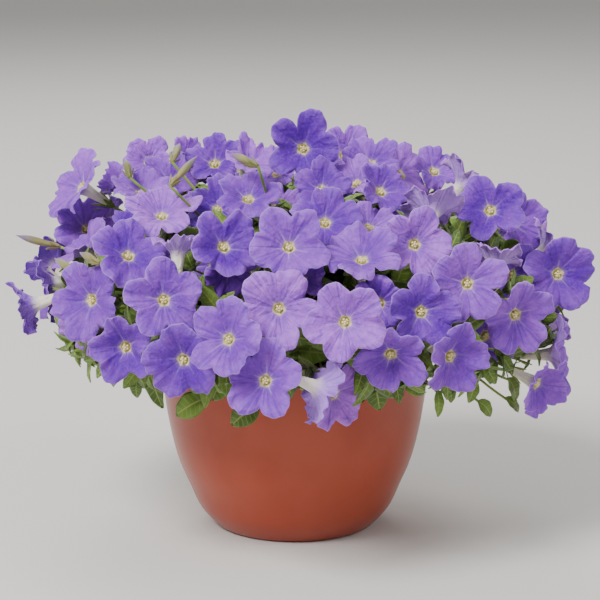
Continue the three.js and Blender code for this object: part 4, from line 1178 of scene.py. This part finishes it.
def on_shell(count):
    """Points spread over the mound by the golden angle, the way out of it there, and the height share."""
    index = np.arange(count)
    height = 1 - 2 * (index + 0.5) / count
    level = np.sqrt(1 - height ** 2)
    tall = np.where(height > 0, mound["up"], mound["down"])
    axes = np.stack([np.full(count, mound["across"]), np.full(count, mound["deep"]), tall], 1)
    ball = np.stack([level * np.cos(index * golden), level * np.sin(index * golden), height], 1)
    return heart + axes * ball, unit(ball / axes), height


print("each leaf is turned by", round(math.degrees(golden), 1), "degrees from the last")

# %% [markdown]
# Each leaf is as long as the blooms round it leave room for: it is tried at a few sizes, the largest
# first, and left out where none is clear. Three lines of points over the blade are enough to tell.

# %% Room for a leaf
def leaf_arch(s):
    """Bend of the midrib over a leaf's length: up along a parabola, then down to the tip."""
    return 0.14 * (4 * s * (1 - s) - s)


def leaf_samples(base, ahead, above, length, width):
    """Points over each blade to test: its midrib and two lines beside it."""
    part = np.array([0.3, 0.45, 0.6, 0.72, 0.84, 0.94, 1.0])[None, :, None]
    side = np.cross(above, ahead)[:, None]
    long = length[:, None, None]
    middle = base[:, None] + ahead[:, None] * long * part + above[:, None] * long * leaf_arch(part)
    half = width[:, None, None] * 0.4 * (part < 0.9)
    return np.concatenate([middle, middle + side * half, middle - side * half], 1)


def fitted(base, ahead, above, length, width, sizes, room):
    """Each leaf at the largest of the sizes that is clear of blooms and pot. Those with none are left out."""
    chosen = np.zeros(len(base))
    for size in sizes:
        points = leaf_samples(base, ahead, above, length * size, width * size)
        clear = ~(touched(points, room) | near_pot(points, room)).any(1)
        chosen = np.where((chosen == 0) & clear, size, chosen)
    keep = chosen > 0
    return base[keep], ahead[keep], above[keep], (length * chosen)[keep], (width * chosen)[keep]


print("a leaf's midrib rises by at most", round(leaf_arch(3 / 8), 3), "of its length")

# %% [markdown]
# There are two kinds under the blooms: large leaves deep in the plant, and shorter ones that fill the
# gaps. Each leans away from straight out by its own seeded amount.

# %% Leaves under the blooms
def spread_leaves(count, seed, depth, size, lowest, lean, sizes, room, wide=0.46):
    """Leaves over the green mass: foot, direction, upper side, length and width of each."""
    places, outward, height = on_shell(count)
    chance = random_from(seed)
    drawn = np.array([next(chance) for _ in range(3 * count)]).reshape(-1, 3)
    swing, reach, stretch = drawn[:, 0] * 2 * np.pi, drawn[:, 1:2], 0.8 + 0.4 * drawn[:, 2]
    around = np.stack([-np.sin(swing), np.cos(swing), 0.4 * np.sin(3 * swing)], 1)
    ahead = unit(outward + square_to(outward, around) * (lean[0] * reach + lean[1] * (1 - reach)))
    above = square_to(ahead, outward)
    keep = height > lowest
    base, length = into_core(places, depth)[keep], (size * stretch)[keep]
    return fitted(base, ahead[keep], above[keep], length, length * wide, sizes, room)


large = spread_leaves(60, 11, 0.86, 47.0, -0.35, (1.1, 0.5), (1, 0.85, 0.7, 0.56), 2.2)
inner = spread_leaves(330, 23, 0.95, 34.0, -0.75, (2.2, 0.6), (1.15, 1, 0.85, 0.7, 0.55), 1.4, 0.52)
print(len(large[0]), "large leaves and", len(inner[0]), "inner ones")

# %% [markdown]
# Between the blooms end many young shoots, each with a small rosette of leaves at its tip. They are what
# keeps the gaps between the petals green and fine.

# %% Rosettes on shoot tips
def rosettes(count, seed, depth, size, lowest, room):
    """Leafy tips of shoots that end between the blooms: four leaves on each, turned by a right angle and
    leaning out, wherever the stem up to the tip is clear. Also gives the stems' ends."""
    places, outward, height = on_shell(count)
    chance = np.random.default_rng(seed)
    tips, roots = into_core(places, depth), into_core(places, stalk_root)
    share = np.linspace(0, 1, 8)[None, :, None]
    line = roots[:, None] + (tips - roots)[:, None] * share
    clear = ~(touched(line, 1.8) | near_pot(line, 2.0)).any(1) & (height > lowest)
    tips, roots, outward = tips[clear], roots[clear], outward[clear]
    swing = chance.random((len(tips), 1)) * 2 * np.pi + np.arange(4) * np.pi / 2
    first = unit(np.cross(outward, [0.2, 0.3, 0.93]))[:, None]
    second = np.cross(outward[:, None], first)
    lean = 0.5 + 0.9 * chance.random((len(tips), 4, 1))
    ahead = unit(outward[:, None] + lean * spokes(swing, first, second)).reshape(-1, 3)
    above = square_to(ahead, np.repeat(outward, 4, 0))
    length = size * (0.75 + 0.5 * chance.random(len(ahead)))
    leaves = fitted(np.repeat(tips, 4, 0), ahead, above, length, length * 0.44, (1, 0.8, 0.62, 0.45), room)
    return leaves, roots, tips


tip_leaves, tip_roots, tip_ends = rosettes(330, 31, 1.22, 25.0, -0.5, 1.3)
print(len(tip_leaves[0]), "small leaves on", len(tip_ends), "shoot tips")

# %% [markdown]
# ### Leaves and buds that show
#
# Some leaves hang over the pot's rim, and some buds stick out of the mound, where the photograph shows
# them. Each is placed by the lines of sight through its foot and its tip. A line of sight alone has no
# depth, so it is cut with an upright oval round the pot, or with the mound's own shell, and the first
# distance out at which the blade and its stem are clear of the blooms is taken.

# %% Lines of sight
focal, picture_middle = 2500.0, 300.0
side_leaf_depth = 130.0


def sights(x, y):
    """Directions of the lines of sight through picture points of the 600 by 600 view, in which the
    150 mm lens over the 36 mm sensor makes 2500 points."""
    right, up = (np.asarray(x) - picture_middle) / focal, (picture_middle - np.asarray(y)) / focal
    s, c = math.sin(look_down), math.cos(look_down)
    return unit(np.stack([right, c + up * s, up * c - s], -1))


def met(direction, scale):
    """Where lines of sight first meet an oval round the heart with half axes 1 / scale: with everything
    scaled to a ball of radius 1, the smaller root t of a t^2 + 2 b t + c = 0."""
    start, slope = (eye - heart) * scale, direction * scale
    a, b, c = (slope * slope).sum(-1), (start * slope).sum(-1), start @ start - 1
    return eye + direction * ((-b - np.sqrt(np.maximum(0, b * b - a * c))) / a)[..., None]


def on_wall(direction, out):
    """Where lines of sight meet an upright oval, out in front and as wide as the mound to the sides."""
    return met(direction, np.array([1 / mound["across"], 1 / out, 0]))


def on_mound(direction, out):
    """Where lines of sight meet the mound's shell moved out by a distance: its upper half, else its lower."""
    upper, lower = (
        met(direction, 1 / np.array([mound["across"] + out, mound["deep"] + out, mound[tall] + out]))
        for tall in ("up", "down")
    )
    return np.where(upper[..., 2:] >= heart[2], upper, lower)


print("the line of sight through the middle points", short(sights(300, 300)))

# %% [markdown]
# Each row of the two lists has the picture x and y of the foot, x and y of the tip, and the width in mm.

# %% Hang them
seen_leaves = np.array([
    [206, 398, 176, 414, 17], [258, 404, 232, 424, 16], [300, 398, 281, 410, 13], [372, 376, 380, 409, 16],
    [226, 374, 212, 399, 17], [404, 376, 424, 393, 15], [150, 358, 160, 407, 13], [138, 378, 136, 397, 10],
    [118, 370, 112, 386, 8], [437, 390, 439, 416, 7], [484, 356, 493, 383, 13], [474, 380, 470, 402, 9],
    [478, 401, 492, 415, 10], [508, 378, 517, 401, 11], [505, 398, 520, 411, 8], [448, 384, 452, 402, 8],
])
seen_buds = np.array([
    [258, 166, 230, 153, 6.5], [170, 186, 198, 155, 6], [130, 178, 125, 158, 6], [172, 162, 180, 143, 6.5],
    [60, 247, 15, 235, 6], [76, 272, 54, 258, 6], [100, 263, 79, 252, 6],
])


def hang(rows, surface, outs, deeper):
    """For each row the first distance out at which blade and stem are clear: foot, tip, root and width."""
    made = []
    for x, y, tip_x, tip_y, width in rows:
        for out in outs:
            foot, tip = surface(sights(x, y), out), surface(sights(tip_x, tip_y), out + deeper)
            root = into_core(foot, stalk_root)
            share = np.linspace(0, 1, 12)[:, None]
            line = np.concatenate([root + (foot - root) * share, foot + (tip - foot) * share])
            if not (touched(line, 1.8) | near_pot(line, 1.5)).any():
                made.append([*foot, *tip, *root, width])
                break
    return np.array(made)


hung = hang(seen_leaves, on_wall, (118, 124, 114, 130, 136, 142, 148, 154, 160), 3)
feet, tips, roots = hung[:, 0:3], hung[:, 3:6], hung[:, 6:9]
hung_ahead = unit(tips - feet)
from_heart_x = (feet[:, 0] - heart[0]) / mound["across"] ** 2
hung_out = unit(np.stack([from_heart_x, feet[:, 1] / side_leaf_depth ** 2, np.full(len(feet), 0.003)], 1))
hung_above = square_to(hung_ahead, hung_out)
hung_leaves = (feet, hung_ahead, hung_above, np.linalg.norm(tips - feet, axis=1) * 1.05, hung[:, 9] * 1.15)

bud_rows = hang(seen_buds, on_mound, (4, 10, -4, 16, 22, -12, 28, 34, -20), 4)
print(len(hung), "seen leaves of", len(seen_leaves), "and", len(bud_rows), "buds of", len(seen_buds))

# %% [markdown]
# ### Leaf blades
#
# A petunia leaf arches along its length, folds up on both sides of its midrib and waves at the edges. The
# larger a leaf shows, the more rows and columns it gets, and the tips of the shoots, of which there are
# hundreds, get a few dozen faces each.

# %% Leaf blades
leaf_thickness = 0.5


def leaf_lift(s, x):
    """Bend of a leaf over its length: arched along, folded up on both sides of the midrib, waved edges."""
    return leaf_arch(s) + 0.045 * abs(x) + 0.02 * abs(x) * np.sin(17 * s)


def leaf_loft(leaves, rows, columns):
    """Leaves of one kind as closed blades of so many rows and columns."""
    return lofts(*blades(*leaves, leaf_thickness, rows, leaf_lift, columns))


leaf_parts = [leaf_loft(large, 12, 9), leaf_loft(hung_leaves, 14, 11), leaf_loft(inner, 9, 7)]
leaf_piece = make_piece("leaves", merged(leaf_parts), leaf_green, ["foliage"])
tip_shapes = leaf_loft(tip_leaves, 8, 5)
tip_piece = make_piece("shoot_tip_leaves", tip_shapes, leaf_green, ["foliage"])
print("leaves have", triangles_of(leaf_piece), "and", triangles_of(tip_piece), "triangles")

# %% [markdown]
# ## Inner growth
#
# Under the blooms the plant is a dense dark tangle of shoots. Hundreds of stems that nobody sees would
# cost more than they give, so a lumpy dark form stands for its depth: an oval whose radius is stirred by
# waves, kept just above the pot's lip.

# %% Inner growth
polar = np.linspace(0.02, np.pi - 0.02, 44)[:, None]
azimuth = round_turn(72)[None, :]
out_x, out_y = np.sin(polar) * np.cos(azimuth), np.sin(polar) * np.sin(azimuth)
out_z = np.cos(polar) + 0 * azimuth
lump = 0.93 + 0.03 * np.sin(9 * out_x + 2 * np.sin(7 * out_y)) + 0.025 * np.cos(11 * out_y + 3 * out_z)
direction = np.stack([out_x, out_y, out_z], -1)
half_across, half_deep = mound["across"] - core_under, mound["deep"] - core_under
half_axes = np.where(
    out_z[..., None] > 0,
    np.array([half_across, half_deep, mound["up"] - core_under]),
    np.array([half_across, half_deep, core_down]),
)
thicket = heart + direction * half_axes * lump[..., None]
over_pot = np.hypot(thicket[..., 0], thicket[..., 1]) < rim_radius + lip_out + 4
thicket[..., 2] = np.where(over_pot, np.maximum(thicket[..., 2], pot_height + 1.5), thicket[..., 2])
print("inner growth from", thicket.min((0, 1)).round(), "to", thicket.max((0, 1)).round(), "mm")

# %% [markdown]
# Deep in the plant little light comes through: the stems read as a dull tangle from near black to a
# shaded green, a few millimetres wide each. Noise of that size gives both the colour and a strong bump.

# %% Shaded green growth
tangle_size = 7 * MM
shaded, tree, shader = new_material("shaded_green_growth")
place = add(tree, "TexCoord")["Object"]
tangle = add(tree, "TexNoise", {"Vector": place, "Scale": 1 / tangle_size, "Detail": 3.0})[0]
fill(tree, shader, {
    "Base Color": layered(tree, "#141c0a", [(tangle, 0.42, 0.66, 0.0, 1.0, "#3c4f1b")]),
    "Normal": add(tree, "Bump", {"Height": tangle, "Strength": 1.0, "Distance": 3 * MM})[0],
    "Roughness": 0.85,
})
thicket_piece = make_piece("inner_growth", lofts(thicket[None, ::-1]), shaded, ["foliage"])
print("inner growth has", triangles_of(thicket_piece), "triangles")

# %% [markdown]
# ### Crown and shoots
#
# A bundle of stems goes down into the soil, young shoots climb over the inner growth to the rosettes, and
# each hanging leaf and each bud has a thin stem of its own. All are tubes along gently bent lines.

# %% Crown and shoots
crown_ring, crown_foot, crown_top, crown_flare = 6.6, 118.0, 178.0, 3


def stem_lines(start, end, sag):
    """Gently bent line between two points: straight, plus sag * 4 t (1 - t) downwards."""
    share = np.linspace(0, 1, 9)[None, :, None]
    down = np.array([0, 0, -1.0]) * sag * 4 * share * (1 - share)
    return start[:, None] + (end - start)[:, None] * share + down


crown_angle = np.arange(7) * 2 * np.pi / 6
crown_spot = crown_ring * np.stack([np.cos(crown_angle), np.sin(crown_angle)], 1)
crown_spot[6] = 0
crown_start = np.column_stack([crown_spot, np.full(7, crown_foot)])
crown_end = np.column_stack([crown_spot * crown_flare + heart[:2], np.full(7, crown_top)])
bud_feet, bud_tips, bud_roots = bud_rows[:, 0:3], bud_rows[:, 3:6], bud_rows[:, 6:9]
stems = [
    (stem_lines(crown_start, crown_end, 0.0), 3.1),
    (stem_lines(roots, feet + hung_ahead * 1.5, 3.0), 1.0),
    (stem_lines(bud_roots, bud_feet, 1.0), 1.1),
    (stem_lines(tip_roots, tip_ends, 0.0), 0.9),
]
shoot_parts = []
for lines, thick in stems:
    shoot_rings = tubes(lines, thick)
    shoot_parts.append(lofts(shoot_rings, plain_values(shoot_rings, np.linspace(0, 1, lines.shape[1]))))
shoot_piece = make_piece("shoots_and_crown", merged(shoot_parts), stalk_green, ["foliage"])
print("shoots and crown have", triangles_of(shoot_piece), "triangles")

# %% [markdown]
# ### Buds
#
# A closed bud is a furled bloom: a club-shaped roll with five pleats that wind round it, green-brown below
# and violet at the tip, held by five short sepals.

# %% Buds
bud_columns, bud_sepal_length, bud_sepal_width = 15, 11.0, 2.4
bud_share = np.linspace(0, 1, 11)
bud_lines = bud_feet[:, None] + (bud_tips - bud_feet)[:, None] * bud_share[None, :, None]
club = 0.45 + 0.55 * np.sin(np.pi * np.clip(bud_share * 1.05, 0, 1) ** 1.6)
bud_width = bud_rows[:, 9:10] / 2 * club[None, :] * (1 - bud_share ** 6)[None, :]
bud_rings = tubes(bud_lines, bud_width, bud_columns)
pleats = 1 + 0.12 * np.cos(5 * round_turn(bud_columns) + 5 * bud_share[:, None])
bud_rings = bud_lines[:, :, None] + (bud_rings - bud_lines[:, :, None]) * pleats[None, ..., None]

bud_ahead = unit(bud_tips - bud_feet)
first = unit(np.cross(bud_ahead, [0.3, 0.9, 0.2]))[:, None]
second = np.cross(bud_ahead[:, None], first)
spoke = spokes(round_turn(5)[None], first, second).reshape(-1, 3)
cup_ahead = unit(np.repeat(bud_ahead, 5, 0) + 0.28 * spoke)
bud_sepals = blades(
    np.repeat(bud_feet, 5, 0) + 1.0 * spoke, cup_ahead, square_to(cup_ahead, spoke),
    np.full(len(spoke), bud_sepal_length), np.full(len(spoke), bud_sepal_width),
    sepal_thickness, sepal_rows, lambda s, x: 0.1 * s * s + 0.03 * abs(x),
)
bud_parts = [lofts(bud_rings, plain_values(bud_rings, bud_share)), lofts(*bud_sepals)]
# The sepals' places along are kept in the bud's lower part, where its material is still green.
bud_parts[1][3]["blade"][:, 1] *= 0.4
bud_piece = make_piece("buds", merged(bud_parts), bud_green, ["foliage"])
print("buds have", triangles_of(bud_piece), "triangles")

# %% [markdown]
# ## The finished size
#
# The size of the finished piece is printed, to set beside the frame's, printed at the start, and so
# to see that the finer pieces have stayed where the model says.

# %% Sizes and finish
low_corner, high_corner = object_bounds()
print("visual box from", short(low_corner), "to", short(high_corner))
